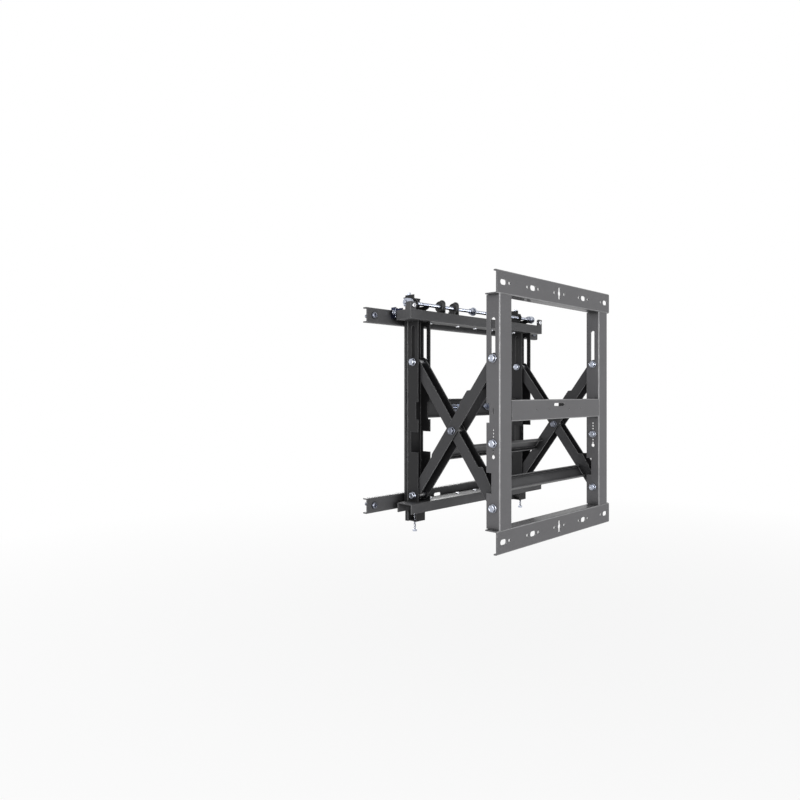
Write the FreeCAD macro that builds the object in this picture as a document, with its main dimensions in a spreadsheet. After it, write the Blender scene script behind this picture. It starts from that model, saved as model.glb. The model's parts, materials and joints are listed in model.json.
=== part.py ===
import FreeCAD, Part
import math
import os
from types import SimpleNamespace

import Sketcher

# Pop-out wall mount, in millimetres, drawn fully pulled out. The origin is the centre of the
# crossbar's wall face. +Y points into the wall, the front is -Y, up is +Z and left is -X.

SIZES = {
    # Folded steel sheet
    "sheet": 2.5,
    "bend_radius": 3,
    "inner_bend": 1,
    # Wall frame
    "frame_width": 430,
    "wall_rail_over": 49.5,
    "rail_depth": 32,
    "plate_overhang": 9,
    "plate_height": 46,
    "plate_flange": 28,
    "plate_lip": 8,
    "wall_slot_pitch": 101.6,
    "wall_slot_length": 20,
    "wall_slot_radius": 5.5,
    "pilot_radius": 3.5,
    "pilot_offset": 20,
    "level_slot_length": 27,
    "level_slot_radius": 4,
    "level_hole_radius": 6,
    "crossbar_height": 42,
    "crossbar_middle": 2,
    "crossbar_flange": 12,
    "crossbar_slot_length": 42,
    "crossbar_slot_radius": 3.5,
    "crossbar_slot_height": 11.5,
    # Scissor geometry
    "pin_height": 103.5,
    "reach": 214,
    "pivot_drop": 186,
    "wall_pivot_depth": 16,
    "closed_reach": 45.1203,
    "slot_spare": 6.33,
    # Arms
    "arm_half_width": 11,
    "inner_arm_width": 26,
    "nest_gap": 1,
    "lug_width": 20,
    "lug_height": 80,
    "step_length": 6,
    "waist_width": 14,
    "waist_near": 100,
    "waist_far": 231,
    "shoulder_width": 17.5,
    "shoulder_far": 270,
    "web_inset": 16,
    "web_gap_low": 164,
    "web_gap_high": 280,
    "inner_plate_low": 33,
    "outer_plate_low": 97,
    "torsion_height": 30,
    "torsion_flange": 10,
    # Holes, slits and notches of the rails
    "stop_hole_middle": -61,
    "stop_hole_pitch": 6.5,
    "stop_small_radius": 1.8,
    "slit_height": 11,
    "slit_width": 2,
    "bolt_notch_middle": -2,
    "bolt_notch_height": 38,
    "bolt_notch_depth": 7,
    "wall_notch_middle": -138,
    "wall_notch_height": 40,
    "wall_notch_depth": 12,
    "front_notch_middle": -70,
    "front_notch_height": 44,
    "front_notch_rest": 8,
    # Pivot hardware
    "bolt_radius": 4,
    "running_gap": 0.05,
    "slide_gap": 0.3,
    "face_gap": 0.2,
    "head_radius": 8.2,
    "head_flange": 1.6,
    "hex_across": 13,
    "head_height": 5,
    "nut_height": 6.5,
    "bolt_tail": 2,
    "bush_radius": 5,
    "collar_radius": 8,
    "sleeve_radius": 6,
    # Front frame
    "front_rail_depth": 30,
    "front_rail_over": 15,
    "front_rail_under": 12,
    "beam_reach": 32.5,
    "beam_overhang": 12,
    "beam_height": 21,
    "small_bolt_radius": 3,
    "small_bolt_gap": 0.1,
    "small_head_radius": 5,
    "small_head_height": 3,
    "small_bolt_length": 9,
    "beam_bolt_pitch": 65,
    "beam_bolt_inset": 15,
    "beam_bolt_depth": 15,
    "cap_leaf": 14,
    "cap_rise": 16,
    # Side adjuster
    "rod_radius": 4,
    "rod_past_nut": 3,
    "rod_depth": 17,
    "rod_rise": 38,
    "rod_gap": 0.1,
    "strip_width": 24,
    "strip_end": 8,
    "ear_width": 20,
    "ear_rise": 6,
    "lock_ear_place": 124,
    "fork_place": 76.8,
    "fork_grip": 5,
    "wheel_radius": 12.5,
    "wheel_width": 9,
    "wheel_groove": 1,
    "end_nut_across": 17,
    "end_nut_length": 12,
    "end_nut_neck": 10,
    "end_flange_radius": 9.5,
    "end_flange_length": 3,
    "stop_nut_place": 8.5,
    "stop_nut_radius": 10,
    "stop_nut_flange": 3,
    "stop_nut_hub": 10,
    # Hook brackets
    "hook_gap": 0.5,
    "hook_flange": 8,
    "hook_under": 45,
    "hook_over": 15.5,
    "hook_seat": 0.3,
    "hook_tongue": 11.5,
    "hook_tongue_depth": 12,
    "hook_nose": 11,
    "hook_crown": 4,
    "saddle_drop": 3,
    "side_hole_pitch": 49.3,
    "side_hole_spread": 12,
    "side_hole_radius": 2,
    "side_slot_length": 30,
    "tab_depth": 14,
    "foot_depth": 27.5,
    "foot_half_width": 14,
    "foot_lip": 21,
    # Screws that are turned by hand or key
    "screw_radius": 2.5,
    "screw_head_radius": 4.5,
    "screw_head_height": 5,
    "lock_screw_side": 6,
    "lock_screw_depth": 7,
    "lock_screw_drop": 18,
    "height_screw_side": 8,
    "height_screw_depth": 9.5,
    "height_screw_past": 6.7,
    "height_head_height": 11,
    # Carrier bars
    "bar_length": 640,
    "bar_height": 32,
    "bar_depth": 12.5,
    "bar_spacing": 400,
    "bar_hole_spacing": 600,
    "bar_hole_radius": 4.5,
    "bar_slot_length": 24,
    "bar_slot_inner": 100,
    "bar_slot_outer": 150,
    "link_gap": 0.5,
    "link_flange": 12,
    "link_offset": 14,
    "link_rise": 15.5,
    "weld_nut_across": 8,
    "weld_nut_height": 4,
    "carrier_screw_head": 7,
    "carrier_screw_head_height": 4.5,
    "carrier_screw_reach": 14,
    "carrier_neck_radius": 4.3,
    "carrier_neck_length": 3,
    "clip_side_gap": 13,
    "clip_width": 22,
    "clip_height": 24,
    "clip_sheet": 2,
    "clip_depth": 14,
    "clip_rise": 10,
    # Push latches
    "latch_place": 65,
    "latch_width": 40,
    "latch_height": 26,
    "latch_depth": 27.5,
    "latch_ear": 8,
    "latch_bore_end": 5.5,
    "plunger_radius": 5,
    "plunger_length": 44.6,
    "plunger_travel": 6,
    "latch_screw_radius": 2,
    "latch_screw_head": 3.6,
    "latch_screw_head_height": 2.2,
    "catch_width": 44,
    "catch_height": 16.5,
    "catch_tip": 6,
    "catch_sheet": 2.5,
    "catch_post_radius": 4,
    "catch_gap": 0.5,
}


class Size:
    """A length with its number and the sheet formula that it comes from."""

    def __init__(self, number, formula):
        self.number = float(number)
        self.formula = formula

    def __add__(self, other):
        other = sized(other)
        return Size(self.number + other.number, f"({self.formula} + {other.formula})")

    def __radd__(self, other):
        return sized(other) + self

    def __sub__(self, other):
        other = sized(other)
        return Size(self.number - other.number, f"({self.formula} - {other.formula})")

    def __rsub__(self, other):
        return sized(other) - self

    def __mul__(self, other):
        other = sized(other)
        return Size(self.number * other.number, f"({self.formula} * {other.formula})")

    def __rmul__(self, other):
        return sized(other) * self

    def __truediv__(self, other):
        other = sized(other)
        return Size(self.number / other.number, f"({self.formula} / {other.formula})")

    def __neg__(self):
        return Size(-self.number, f"(0 - {self.formula})")


def sized(value):
    """The value as a Size."""
    if isinstance(value, Size):
        return value
    return Size(value, f"({value:.9g})")


def root(value):
    """Square root of a Size."""
    return Size(math.sqrt(value.number), f"sqrt({value.formula})")


doc = FreeCAD.newDocument("pop_out_mount")
sheet = doc.addObject("Spreadsheet::Sheet", "sizes")
for row, (alias, number) in enumerate(SIZES.items(), 1):
    sheet.set(f"A{row}", alias)
    sheet.set(f"B{row}", str(number))
    sheet.setAlias(f"B{row}", alias)
doc.recompute()
z = SimpleNamespace(**{alias: Size(number, f"sizes.{alias}") for alias, number in SIZES.items()})

nodes = []
LEFT_RIGHT = (("left", -1), ("right", 1))


def keep(thing, name):
    """Make a document object one of the sub-parts that are written out."""
    thing.Label = name
    nodes.append(thing)
    return thing


def bind(thing, prop, size):
    """Tie a property to the sheet."""
    thing.setExpression(prop, sized(size).formula)


# Sketch outlines. Each returns a function that draws closed edges in a sketch.

def pin(sketch, edge, point, x, y):
    """Fix a point of an edge at a distance from the sketch's origin."""
    for kind, size in (("DistanceX", sized(x)), ("DistanceY", sized(y))):
        index = sketch.addConstraint(Sketcher.Constraint(kind, -1, 1, edge, point, size.number))
        sketch.setExpression(f"Constraints[{index}]", size.formula)


def polygon(*corners):
    """Straight-sided outline."""
    def draw(sketch):
        points = [FreeCAD.Vector(sized(x).number, sized(y).number, 0) for x, y in corners]
        first = sketch.GeometryCount
        for n, point in enumerate(points):
            sketch.addGeometry(Part.LineSegment(point, points[(n + 1) % len(points)]), False)
        for n, (x, y) in enumerate(corners):
            after = first + (n + 1) % len(points)
            sketch.addConstraint(Sketcher.Constraint("Coincident", first + n, 2, after, 1))
            pin(sketch, first + n, 1, x, y)
    return draw


def rectangle(x0, y0, x1, y1):
    """Rectangle between two corners."""
    return polygon((x0, y0), (x1, y0), (x1, y1), (x0, y1))


def circle(x, y, radius):
    """Round outline."""
    def draw(sketch):
        centre = FreeCAD.Vector(sized(x).number, sized(y).number, 0)
        round_edge = Part.Circle(centre, FreeCAD.Vector(0, 0, 1), sized(radius).number)
        edge = sketch.addGeometry(round_edge, False)
        pin(sketch, edge, 3, x, y)
        radius_rule = Sketcher.Constraint("Radius", edge, sized(radius).number)
        index = sketch.addConstraint(radius_rule)
        sketch.setExpression(f"Constraints[{index}]", sized(radius).formula)
    return draw


def slot(x0, y0, x1, y1, radius):
    """Slot between two centres, along one of the sketch's axes; the first centre is lower."""
    def draw(sketch):
        start = FreeCAD.Vector(sized(x0).number, sized(y0).number, 0)
        end = FreeCAD.Vector(sized(x1).number, sized(y1).number, 0)
        along = (end - start).normalize()
        side = FreeCAD.Vector(-along.y, along.x, 0) * sized(radius).number
        turn = math.atan2(along.y, along.x)
        axis = FreeCAD.Vector(0, 0, 1)
        near = Part.ArcOfCircle(Part.Circle(start, axis, sized(radius).number),
                                turn + math.pi / 2, turn + 3 * math.pi / 2)
        far = Part.ArcOfCircle(Part.Circle(end, axis, sized(radius).number),
                               turn - math.pi / 2, turn + math.pi / 2)
        first = sketch.addGeometry(near, False)
        last = sketch.addGeometry(far, False)
        low_side = sketch.addGeometry(Part.LineSegment(start - side, end - side), False)
        high_side = sketch.addGeometry(Part.LineSegment(end + side, start + side), False)
        sketch.addConstraint(Sketcher.Constraint("Tangent", first, 2, low_side, 1))
        sketch.addConstraint(Sketcher.Constraint("Tangent", low_side, 2, last, 1))
        sketch.addConstraint(Sketcher.Constraint("Tangent", last, 2, high_side, 1))
        sketch.addConstraint(Sketcher.Constraint("Tangent", high_side, 2, first, 1))
        pin(sketch, first, 3, x0, y0)
        if abs(along.x) > abs(along.y):
            index = sketch.addConstraint(Sketcher.Constraint("DistanceX", -1, 1, last, 3, end.x))
            sketch.setExpression(f"Constraints[{index}]", sized(x1).formula)
            sketch.addConstraint(Sketcher.Constraint("Horizontal", low_side))
        else:
            index = sketch.addConstraint(Sketcher.Constraint("DistanceY", -1, 1, last, 3, end.y))
            sketch.setExpression(f"Constraints[{index}]", sized(y1).formula)
            sketch.addConstraint(Sketcher.Constraint("Vertical", low_side))
        index = sketch.addConstraint(Sketcher.Constraint("Radius", first, sized(radius).number))
        sketch.setExpression(f"Constraints[{index}]", sized(radius).formula)
    return draw


# Solid features of a body

PLANE_ROLES = {"x": "YZ_Plane", "y": "XZ_Plane", "z": "XY_Plane"}


def new_body(name):
    return doc.addObject("PartDesign::Body", name)


def extrude(body, kind, axis, low, high, *outlines):
    """Pad or pocket that fills the outlines from a low to a high plane across an axis."""
    sketch = body.newObject("Sketcher::SketchObject", f"{body.Name}_sketch")
    planes = [plane for plane in body.Origin.OriginFeatures if plane.Role == PLANE_ROLES[axis]]
    sketch.AttachmentSupport = (planes[0], "")
    sketch.MapMode = "FlatFace"
    bind(sketch, "AttachmentOffset.Base.z", -sized(high) if axis == "y" else low)
    for outline in outlines:
        outline(sketch)
    feature = body.newObject(f"PartDesign::{kind}", f"{body.Name}_{kind.lower()}")
    feature.Profile = sketch
    feature.Reversed = kind == "Pocket"
    bind(feature, "Length", sized(high) - low)
    return feature


def pad(body, axis, low, high, *outlines):
    return extrude(body, "Pad", axis, low, high, *outlines)


def pocket(body, axis, low, high, *outlines):
    return extrude(body, "Pocket", axis, low, high, *outlines)


def round_edges(body, axis, corners, radius):
    """Round the body's edges along an axis that pass through corners of its cross-section."""
    doc.recompute()
    across = [n for n, letter in enumerate("xyz") if letter != axis]
    names = []
    for n, edge in enumerate(body.Tip.Shape.Edges, 1):
        ends = [vertex.Point for vertex in edge.Vertexes]
        if len(ends) != 2:
            continue
        for corner in corners:
            off = [abs(end[side] - sized(corner[k]).number) for end in ends for k, side in enumerate(across)]
            if max(off) < 0.01:
                names.append(f"Edge{n}")
    fillet = body.newObject("PartDesign::Fillet", f"{body.Name}_bend")
    fillet.Base = (fillet.BaseFeature, names)
    bind(fillet, "Radius", radius)
    return fillet


def place(thing, x=0, y=0, up=0, turn=None):
    """Put a sub-part in the object's frame; the turn is an axis and an angle in degrees."""
    if turn:
        thing.Placement = FreeCAD.Placement(FreeCAD.Vector(), FreeCAD.Rotation(*turn))
    for letter, size in (("x", x), ("y", y), ("z", up)):
        bind(thing, f"Placement.Base.{letter}", size)
    return thing


# Primitives and booleans

ALONG = {
    "x": FreeCAD.Rotation(FreeCAD.Vector(0, 1, 0), 90),
    "y": FreeCAD.Rotation(FreeCAD.Vector(1, 0, 0), -90),
    "z": FreeCAD.Rotation(),
}


def at(thing, axis, x, y, up):
    """Stand a primitive on a point, along an axis."""
    thing.Placement = FreeCAD.Placement(FreeCAD.Vector(), ALONG[axis])
    for letter, size in (("x", x), ("y", y), ("z", up)):
        bind(thing, f"Placement.Base.{letter}", size)
    return thing


def rod(name, axis, x, y, up, radius, length):
    cylinder = doc.addObject("Part::Cylinder", name)
    bind(cylinder, "Radius", radius)
    bind(cylinder, "Height", length)
    return at(cylinder, axis, x, y, up)


def hexagon(name, axis, x, y, up, across_flats, length):
    prism = doc.addObject("Part::Prism", name)
    prism.Polygon = 6
    bind(prism, "Circumradius", across_flats / math.sqrt(3))
    bind(prism, "Height", length)
    return at(prism, axis, x, y, up)


def cut(name, base, tool):
    result = doc.addObject("Part::Cut", name)
    result.Base = base
    result.Tool = tool
    return result


def fuse(name, *pieces):
    result = doc.addObject("Part::MultiFuse", name)
    result.Shapes = list(pieces)
    return result


def group(name, pieces):
    """Identical pieces as one sub-part of separate solids."""
    result = doc.addObject("Part::Compound", name)
    result.Links = list(pieces)
    return keep(result, name)


def ring(name, axis, x, y, up, radius, bore, length):
    outside = rod(f"{name}_outside", axis, x, y, up, radius, length)
    inside = rod(f"{name}_inside", axis, x, y, up, bore, length)
    return cut(name, outside, inside)


# Places that many pieces share

sheet_edge = 1
outer_arm_width = z.inner_arm_width + 2 * z.sheet + 2 * z.nest_gap
rail_width = outer_arm_width + 2 * z.sheet + 2 * z.nest_gap
half_rail = rail_width / 2
rail_place = z.frame_width / 2 - half_rail
upper_pin = z.pin_height
pivot_span = upper_pin + z.pivot_drop
arm_length = root(z.reach * z.reach + pivot_span * pivot_span)
closed_span = root(arm_length * arm_length - z.closed_reach * z.closed_reach)
slot_travel = closed_span - pivot_span + z.slot_spare
frame_end = upper_pin + slot_travel + z.wall_rail_over
wall_pivot_y = -z.wall_pivot_depth
front_pivot_y = wall_pivot_y - z.reach
front_web_y = front_pivot_y - z.front_rail_depth / 2
front_top = upper_pin + slot_travel + z.front_rail_over
front_bottom = -z.pivot_drop - z.front_rail_under
bolt_hole = z.bolt_radius + z.running_gap
slide_hole = z.bush_radius + z.face_gap
tilt = math.degrees(math.asin(z.reach.number / arm_length.number))
sideways = FreeCAD.Vector(1, 0, 0)
centre_y = wall_pivot_y - z.reach / 2
centre_up = (upper_pin - z.pivot_drop) / 2
frame_side = z.frame_width / 2
end_nut_start = frame_side + z.end_nut_neck
end_nut_end = end_nut_start + z.end_flange_length + z.end_nut_length
rod_end = end_nut_end + z.rod_past_nut
beam_end = frame_side + z.beam_reach
clip_start = frame_side + z.clip_side_gap
link_top = z.bar_spacing / 2 + z.link_rise


def rail_channel(body, low, high, web, rim):
    """Upright channel with rounded bends, from its web's outer face to its flanges' rims."""
    inner = half_rail - z.sheet
    inside = z.sheet if rim.number > web.number else -z.sheet
    past_rim = rim + (sheet_edge if rim.number > web.number else -sheet_edge)
    floor = web + inside
    shallow, deep = sorted((web, rim), key=lambda size: size.number)
    pad(body, "z", low, high, rectangle(-half_rail, shallow, half_rail, deep))
    round_edges(body, "z", [(-half_rail, web), (half_rail, web)], z.bend_radius)
    shallow, deep = sorted((floor, past_rim), key=lambda size: size.number)
    pocket(body, "z", low - sheet_edge, high + sheet_edge, rectangle(-inner, shallow, inner, deep))
    round_edges(body, "z", [(-inner, floor), (inner, floor)], z.inner_bend)


def wall_rail(side, sign):
    """Upright channel against the wall, with the arms' slot, pivot hole and stop holes."""
    body = new_body(f"wall_rail_{side}")
    rail_channel(body, -frame_end, frame_end, sized(0), -z.rail_depth)
    holes = [circle(wall_pivot_y, -z.pivot_drop, bolt_hole),
             slot(wall_pivot_y, upper_pin, wall_pivot_y, upper_pin + slot_travel, slide_hole),
             rectangle(wall_pivot_y - z.slit_width / 2, z.crossbar_middle - z.slit_height / 2,
                       wall_pivot_y + z.slit_width / 2, z.crossbar_middle + z.slit_height / 2)]
    for step in (-4, 0):
        holes.append(circle(wall_pivot_y, z.stop_hole_middle + step * z.stop_hole_pitch, bolt_hole))
    for step in (-3, -2, 2, 3, 4):
        up = z.stop_hole_middle + step * z.stop_hole_pitch
        holes.append(circle(wall_pivot_y, up, z.stop_small_radius))
    through = half_rail + sheet_edge
    pocket(body, "x", -through, through, *holes)
    free_edge = -z.rail_depth - sheet_edge
    for middle, height, depth in ((z.bolt_notch_middle, z.bolt_notch_height, z.bolt_notch_depth),
                                  (z.wall_notch_middle, z.wall_notch_height, z.wall_notch_depth)):
        pocket(body, "x", -through, through,
               rectangle(free_edge, middle - height / 2, depth - z.rail_depth, middle + height / 2))
    place(body, sign * rail_place)
    return keep(body, body.Name)


def wall_plate(end, sign):
    """Bolt plate above or below the rails, with a flange, a lip and slotted holes."""
    body = new_body(f"wall_plate_{end}")
    half = frame_side + z.plate_overhang
    pad(body, "x", -half, half, polygon(
        (-z.plate_flange, 0), (0, 0), (0, z.plate_height), (-z.plate_lip, z.plate_height),
        (-z.plate_lip, z.plate_height - z.sheet), (-z.sheet, z.plate_height - z.sheet),
        (-z.sheet, z.sheet), (-z.plate_flange, z.sheet)))
    round_edges(body, "x", [(0, 0), (0, z.plate_height)], z.bend_radius)
    round_edges(body, "x", [(-z.sheet, z.sheet), (-z.sheet, z.plate_height - z.sheet)], z.inner_bend)
    middle = z.plate_height / 2
    reach = z.wall_slot_length / 2 - z.wall_slot_radius
    holes = []
    for step in (-2, -1, 1, 2):
        x = step * z.wall_slot_pitch
        holes.append(slot(x - reach, middle, x + reach, middle, z.wall_slot_radius))
        for hand in (-1, 1):
            if abs(step) == 1 or hand * step < 0:
                holes.append(circle(x + hand * z.pilot_offset, middle, z.pilot_radius))
    level = z.level_slot_length / 2 - z.level_slot_radius
    holes.append(slot(0, middle - level, 0, middle + level, z.level_slot_radius))
    for hand in (-1, 1):
        holes.append(circle(hand * z.pilot_offset, middle, z.pilot_radius))
    pocket(body, "y", -z.sheet - sheet_edge, sheet_edge, *holes)
    pocket(body, "y", -z.sheet - sheet_edge, sheet_edge, circle(0, middle, z.level_hole_radius))
    if sign > 0:
        place(body, 0, 0, frame_end)
    else:
        place(body, 0, 0, -frame_end, (FreeCAD.Vector(0, 1, 0), 180))
    return keep(body, body.Name)


def cross_channel(name, web_y, flange_direction):
    """Channel between two rails, open towards the front (-1) or the wall (+1)."""
    body = new_body(name)
    half = frame_side - rail_width
    low = z.crossbar_middle - z.crossbar_height / 2
    high = z.crossbar_middle + z.crossbar_height / 2
    web = flange_direction * z.sheet
    rim = flange_direction * z.crossbar_flange
    pad(body, "x", -half, half, polygon(
        (0, low), (rim, low), (rim, low + z.sheet), (web, low + z.sheet),
        (web, high - z.sheet), (rim, high - z.sheet), (rim, high), (0, high)))
    round_edges(body, "x", [(0, low), (0, high)], z.bend_radius)
    place(body, 0, web_y)
    return keep(body, name)


def wall_crossbar():
    """Crossbar of the wall frame, with a level slot and the latches' screw holes."""
    body = cross_channel("wall_crossbar", 0, -1)
    half = z.crossbar_slot_length / 2 - z.crossbar_slot_radius
    holes = [slot(-half, z.crossbar_slot_height, half, z.crossbar_slot_height, z.crossbar_slot_radius)]
    for x in latch_screw_places():
        holes.append(circle(x, z.crossbar_middle, z.latch_screw_radius + z.small_bolt_gap))
    pocket(body, "y", -z.sheet - sheet_edge, sheet_edge, *holes)


def latch_screw_places():
    """Where the latches' screws stand along X."""
    reach = z.latch_width / 2 + z.latch_ear / 2
    return [hand * z.latch_place + side * reach for hand in (-1, 1) for side in (-1, 1)]


def arm(name, width, outline, web_stretches):
    """Folded arm: two side plates and the web on their front side."""
    body = new_body(name)
    half = width / 2
    pad(body, "x", -half, half, outline)
    for up in (0, arm_length):
        pad(body, "x", -half, half, circle(0, up, z.arm_half_width))
    inner = half - z.sheet
    web_face = z.sheet - z.arm_half_width
    far = 3 * z.arm_half_width
    low, high = -far, arm_length + far
    pocket(body, "x", -inner, inner, rectangle(web_face, low, far, high))
    edges = [low] + [edge for stretch in web_stretches for edge in stretch] + [high]
    for start, end in zip(edges[::2], edges[1::2]):
        pocket(body, "x", -inner, inner, rectangle(-far, start, web_face + sheet_edge, end))
    through = half + sheet_edge
    pocket(body, "x", -through, through, circle(0, 0, bolt_hole),
           circle(0, arm_length / 2, bolt_hole), circle(0, arm_length, bolt_hole))
    return keep(body, name)


def inner_arm(side, sign):
    """Narrow arm, from the wall rail's lower pivot to the front rail's slot."""
    edge = z.arm_half_width
    outline = polygon(
        (-edge, 0), (edge, 0), (z.lug_width, z.lug_height), (edge, z.lug_height + z.step_length),
        (edge, arm_length), (-edge, arm_length))
    stretches = [(z.web_inset, arm_length - z.web_inset)]
    body = arm(f"inner_arm_{side}", z.inner_arm_width, outline, stretches)
    place(body, sign * rail_place, wall_pivot_y, -z.pivot_drop, (sideways, tilt))


def outer_arm(side, sign):
    """Wide arm, from the front rail's lower pivot to the wall rail's slot."""
    edge = z.arm_half_width
    outline = polygon(
        (-edge, 0), (edge, 0), (edge, arm_length), (-edge, arm_length),
        (-edge, z.shoulder_far + z.step_length), (-z.shoulder_width, z.shoulder_far),
        (-z.shoulder_width, z.waist_far + z.step_length), (-z.waist_width, z.waist_far),
        (-z.waist_width, z.waist_near + z.step_length), (-edge, z.waist_near))
    stretches = [(z.web_inset, z.web_gap_low), (z.web_gap_high, arm_length - z.web_inset)]
    body = arm(f"outer_arm_{side}", outer_arm_width, outline, stretches)
    inner = outer_arm_width / 2 - z.sheet
    pocket(body, "x", -inner, inner, rectangle(-2 * edge, edge, -edge, arm_length - edge))
    place(body, sign * rail_place, front_pivot_y, -z.pivot_drop, (sideways, -tilt))


def torsion_plate(name, low, arm_width, pivot_y, angle):
    """Channel that joins the left and the right arm, so that both move alike."""
    body = new_body(name)
    half = rail_place - arm_width / 2
    back = -z.arm_half_width
    rim = back + z.torsion_flange
    high = low + z.torsion_height
    pad(body, "x", -half, half, polygon(
        (back, low), (rim, low), (rim, low + z.sheet), (back + z.sheet, low + z.sheet),
        (back + z.sheet, high - z.sheet), (rim, high - z.sheet), (rim, high), (back, high)))
    round_edges(body, "x", [(back, low), (back, high)], z.bend_radius)
    place(body, 0, pivot_y, -z.pivot_drop, (sideways, angle))
    keep(body, name)


def front_rail(side, sign):
    """Upright channel of the front frame, open towards the wall."""
    body = new_body(f"front_rail_{side}")
    pivot = z.front_rail_depth / 2
    rail_channel(body, front_bottom, front_top, sized(0), z.front_rail_depth)
    through = half_rail + sheet_edge
    pocket(body, "x", -through, through,
           circle(pivot, -z.pivot_drop, bolt_hole),
           slot(pivot, upper_pin, pivot, upper_pin + slot_travel, slide_hole))
    free_edge = z.front_rail_depth + sheet_edge
    shallow = z.front_rail_depth - z.bolt_notch_depth
    for middle, height, floor in ((z.bolt_notch_middle, z.bolt_notch_height, shallow),
                                  (z.front_notch_middle, z.front_notch_height, z.front_notch_rest)):
        pocket(body, "x", -through, through,
               rectangle(floor, middle - height / 2, free_edge, middle + height / 2))
    place(body, sign * rail_place, front_web_y)
    keep(body, body.Name)


# The beams' depth, from the front rails' webs to the edge that faces the wall
beam_depth = z.front_rail_depth + z.beam_overhang
beam_bolt_end = frame_side - rail_width - z.beam_bolt_inset
beam_bolts = [-beam_bolt_end, -z.beam_bolt_pitch, sized(0), z.beam_bolt_pitch, beam_bolt_end]


def front_beam(name, up, turn):
    """Long channel over or under the front rails, with its flanges away from them."""
    body = new_body(name)
    pad(body, "x", -beam_end, beam_end, polygon(
        (0, 0), (beam_depth, 0), (beam_depth, z.beam_height), (beam_depth - z.sheet, z.beam_height),
        (beam_depth - z.sheet, z.sheet), (z.sheet, z.sheet), (z.sheet, z.beam_height),
        (0, z.beam_height)))
    round_edges(body, "x", [(0, 0), (beam_depth, 0)], z.bend_radius)
    pocket(body, "z", -sheet_edge, z.sheet + sheet_edge,
           *[circle(x, beam_hole_y(turn), z.small_bolt_radius + z.small_bolt_gap) for x in beam_bolts])
    if turn:
        place(body, 0, front_web_y + beam_depth, up, (sideways, 180))
    else:
        place(body, 0, front_web_y, up)
    keep(body, name)


def beam_hole_y(turned):
    """The screws' place across a beam, in the beam's own frame."""
    return beam_depth - z.beam_bolt_depth if turned else z.beam_bolt_depth


# Bolts, nuts, bushes and sleeves. Every pivot bolt lies along X with its head towards +X.

def hex_bolt(name, low, high, y, up):
    """Bolt from its tip at low to its bearing face at high."""
    shank = rod(f"{name}_shank", "x", low, y, up, z.bolt_radius, high - low)
    flange = rod(f"{name}_flange", "x", high, y, up, z.head_radius, z.head_flange)
    head = hexagon(f"{name}_hex", "x", high + z.head_flange, y, up, z.hex_across, z.head_height)
    return fuse(name, shank, flange, head)


def hex_nut(name, high, y, up):
    """Flanged nut whose bearing face is at high."""
    flange = rod(f"{name}_flange", "x", high - z.head_flange, y, up, z.head_radius, z.head_flange)
    body = hexagon(f"{name}_hex", "x", high - z.nut_height, y, up, z.hex_across, z.nut_height)
    bore = rod(f"{name}_bore", "x", high - z.nut_height, y, up, bolt_hole, z.nut_height)
    return cut(name, fuse(f"{name}_blank", flange, body), bore)


def bolts_and_nuts(bolt_node, nut_node, half_grip, places):
    """One bolt and one nut in each rail for each place (y, up)."""
    bolts = []
    nuts = []
    for side, sign in LEFT_RIGHT:
        centre = sign * rail_place
        for n, (y, up) in enumerate(places):
            low = centre - half_grip
            tip = low - z.nut_height - z.bolt_tail
            bolts.append(hex_bolt(f"{bolt_node}_{side}_{n}", tip, centre + half_grip, y, up))
            nuts.append(hex_nut(f"{nut_node}_{side}_{n}", low, y, up))
    group(bolt_node, bolts)
    group(nut_node, nuts)


def both_faces(node, places, inner_face, thickness, bush_length=None):
    """Collars on the outer faces of the arms, with a bush that runs in the slot if given."""
    pieces = []
    for side, sign in LEFT_RIGHT:
        for n, (y, up) in enumerate(places):
            for hand in (-1, 1):
                name = f"{node}_{side}_{n}_{'low' if hand < 0 else 'high'}"
                start = inner_face + z.face_gap
                low = sign * rail_place + (start if hand > 0 else -start - thickness)
                if bush_length is None:
                    pieces.append(ring(name, "x", low, y, up, z.collar_radius, bolt_hole, thickness))
                    continue
                collar = rod(f"{name}_collar", "x", low, y, up, z.collar_radius, thickness)
                bush_low = low + thickness if hand > 0 else low - bush_length
                bush = rod(f"{name}_bush", "x", bush_low, y, up, z.bush_radius, bush_length)
                whole = thickness + bush_length
                bore = rod(f"{name}_bore", "x", low if hand > 0 else bush_low, y, up, bolt_hole, whole)
                pieces.append(cut(name, fuse(f"{name}_blank", collar, bush), bore))
    return pieces


def sleeves(node, places, half_inside):
    """Tubes between an arm's side plates, round its bolts."""
    pieces = []
    for side, sign in LEFT_RIGHT:
        for n, (y, up) in enumerate(places):
            low = sign * rail_place - half_inside + z.face_gap
            length = 2 * (half_inside - z.face_gap)
            pieces.append(ring(f"{node}_{side}_{n}", "x", low, y, up, z.sleeve_radius, bolt_hole, length))
    group(node, pieces)


wall_lower = (wall_pivot_y, -z.pivot_drop)
wall_upper = (wall_pivot_y, upper_pin)
wall_stop = (wall_pivot_y, z.stop_hole_middle)
front_lower = (front_pivot_y, -z.pivot_drop)
front_upper = (front_pivot_y, upper_pin)
centre = (centre_y, centre_up)
inner_face = z.inner_arm_width / 2
outer_face = outer_arm_width / 2
rail_inside = half_rail - z.sheet
inner_collar = rail_inside - inner_face - 2 * z.face_gap
outer_collar = rail_inside - outer_face - 2 * z.face_gap


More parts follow.
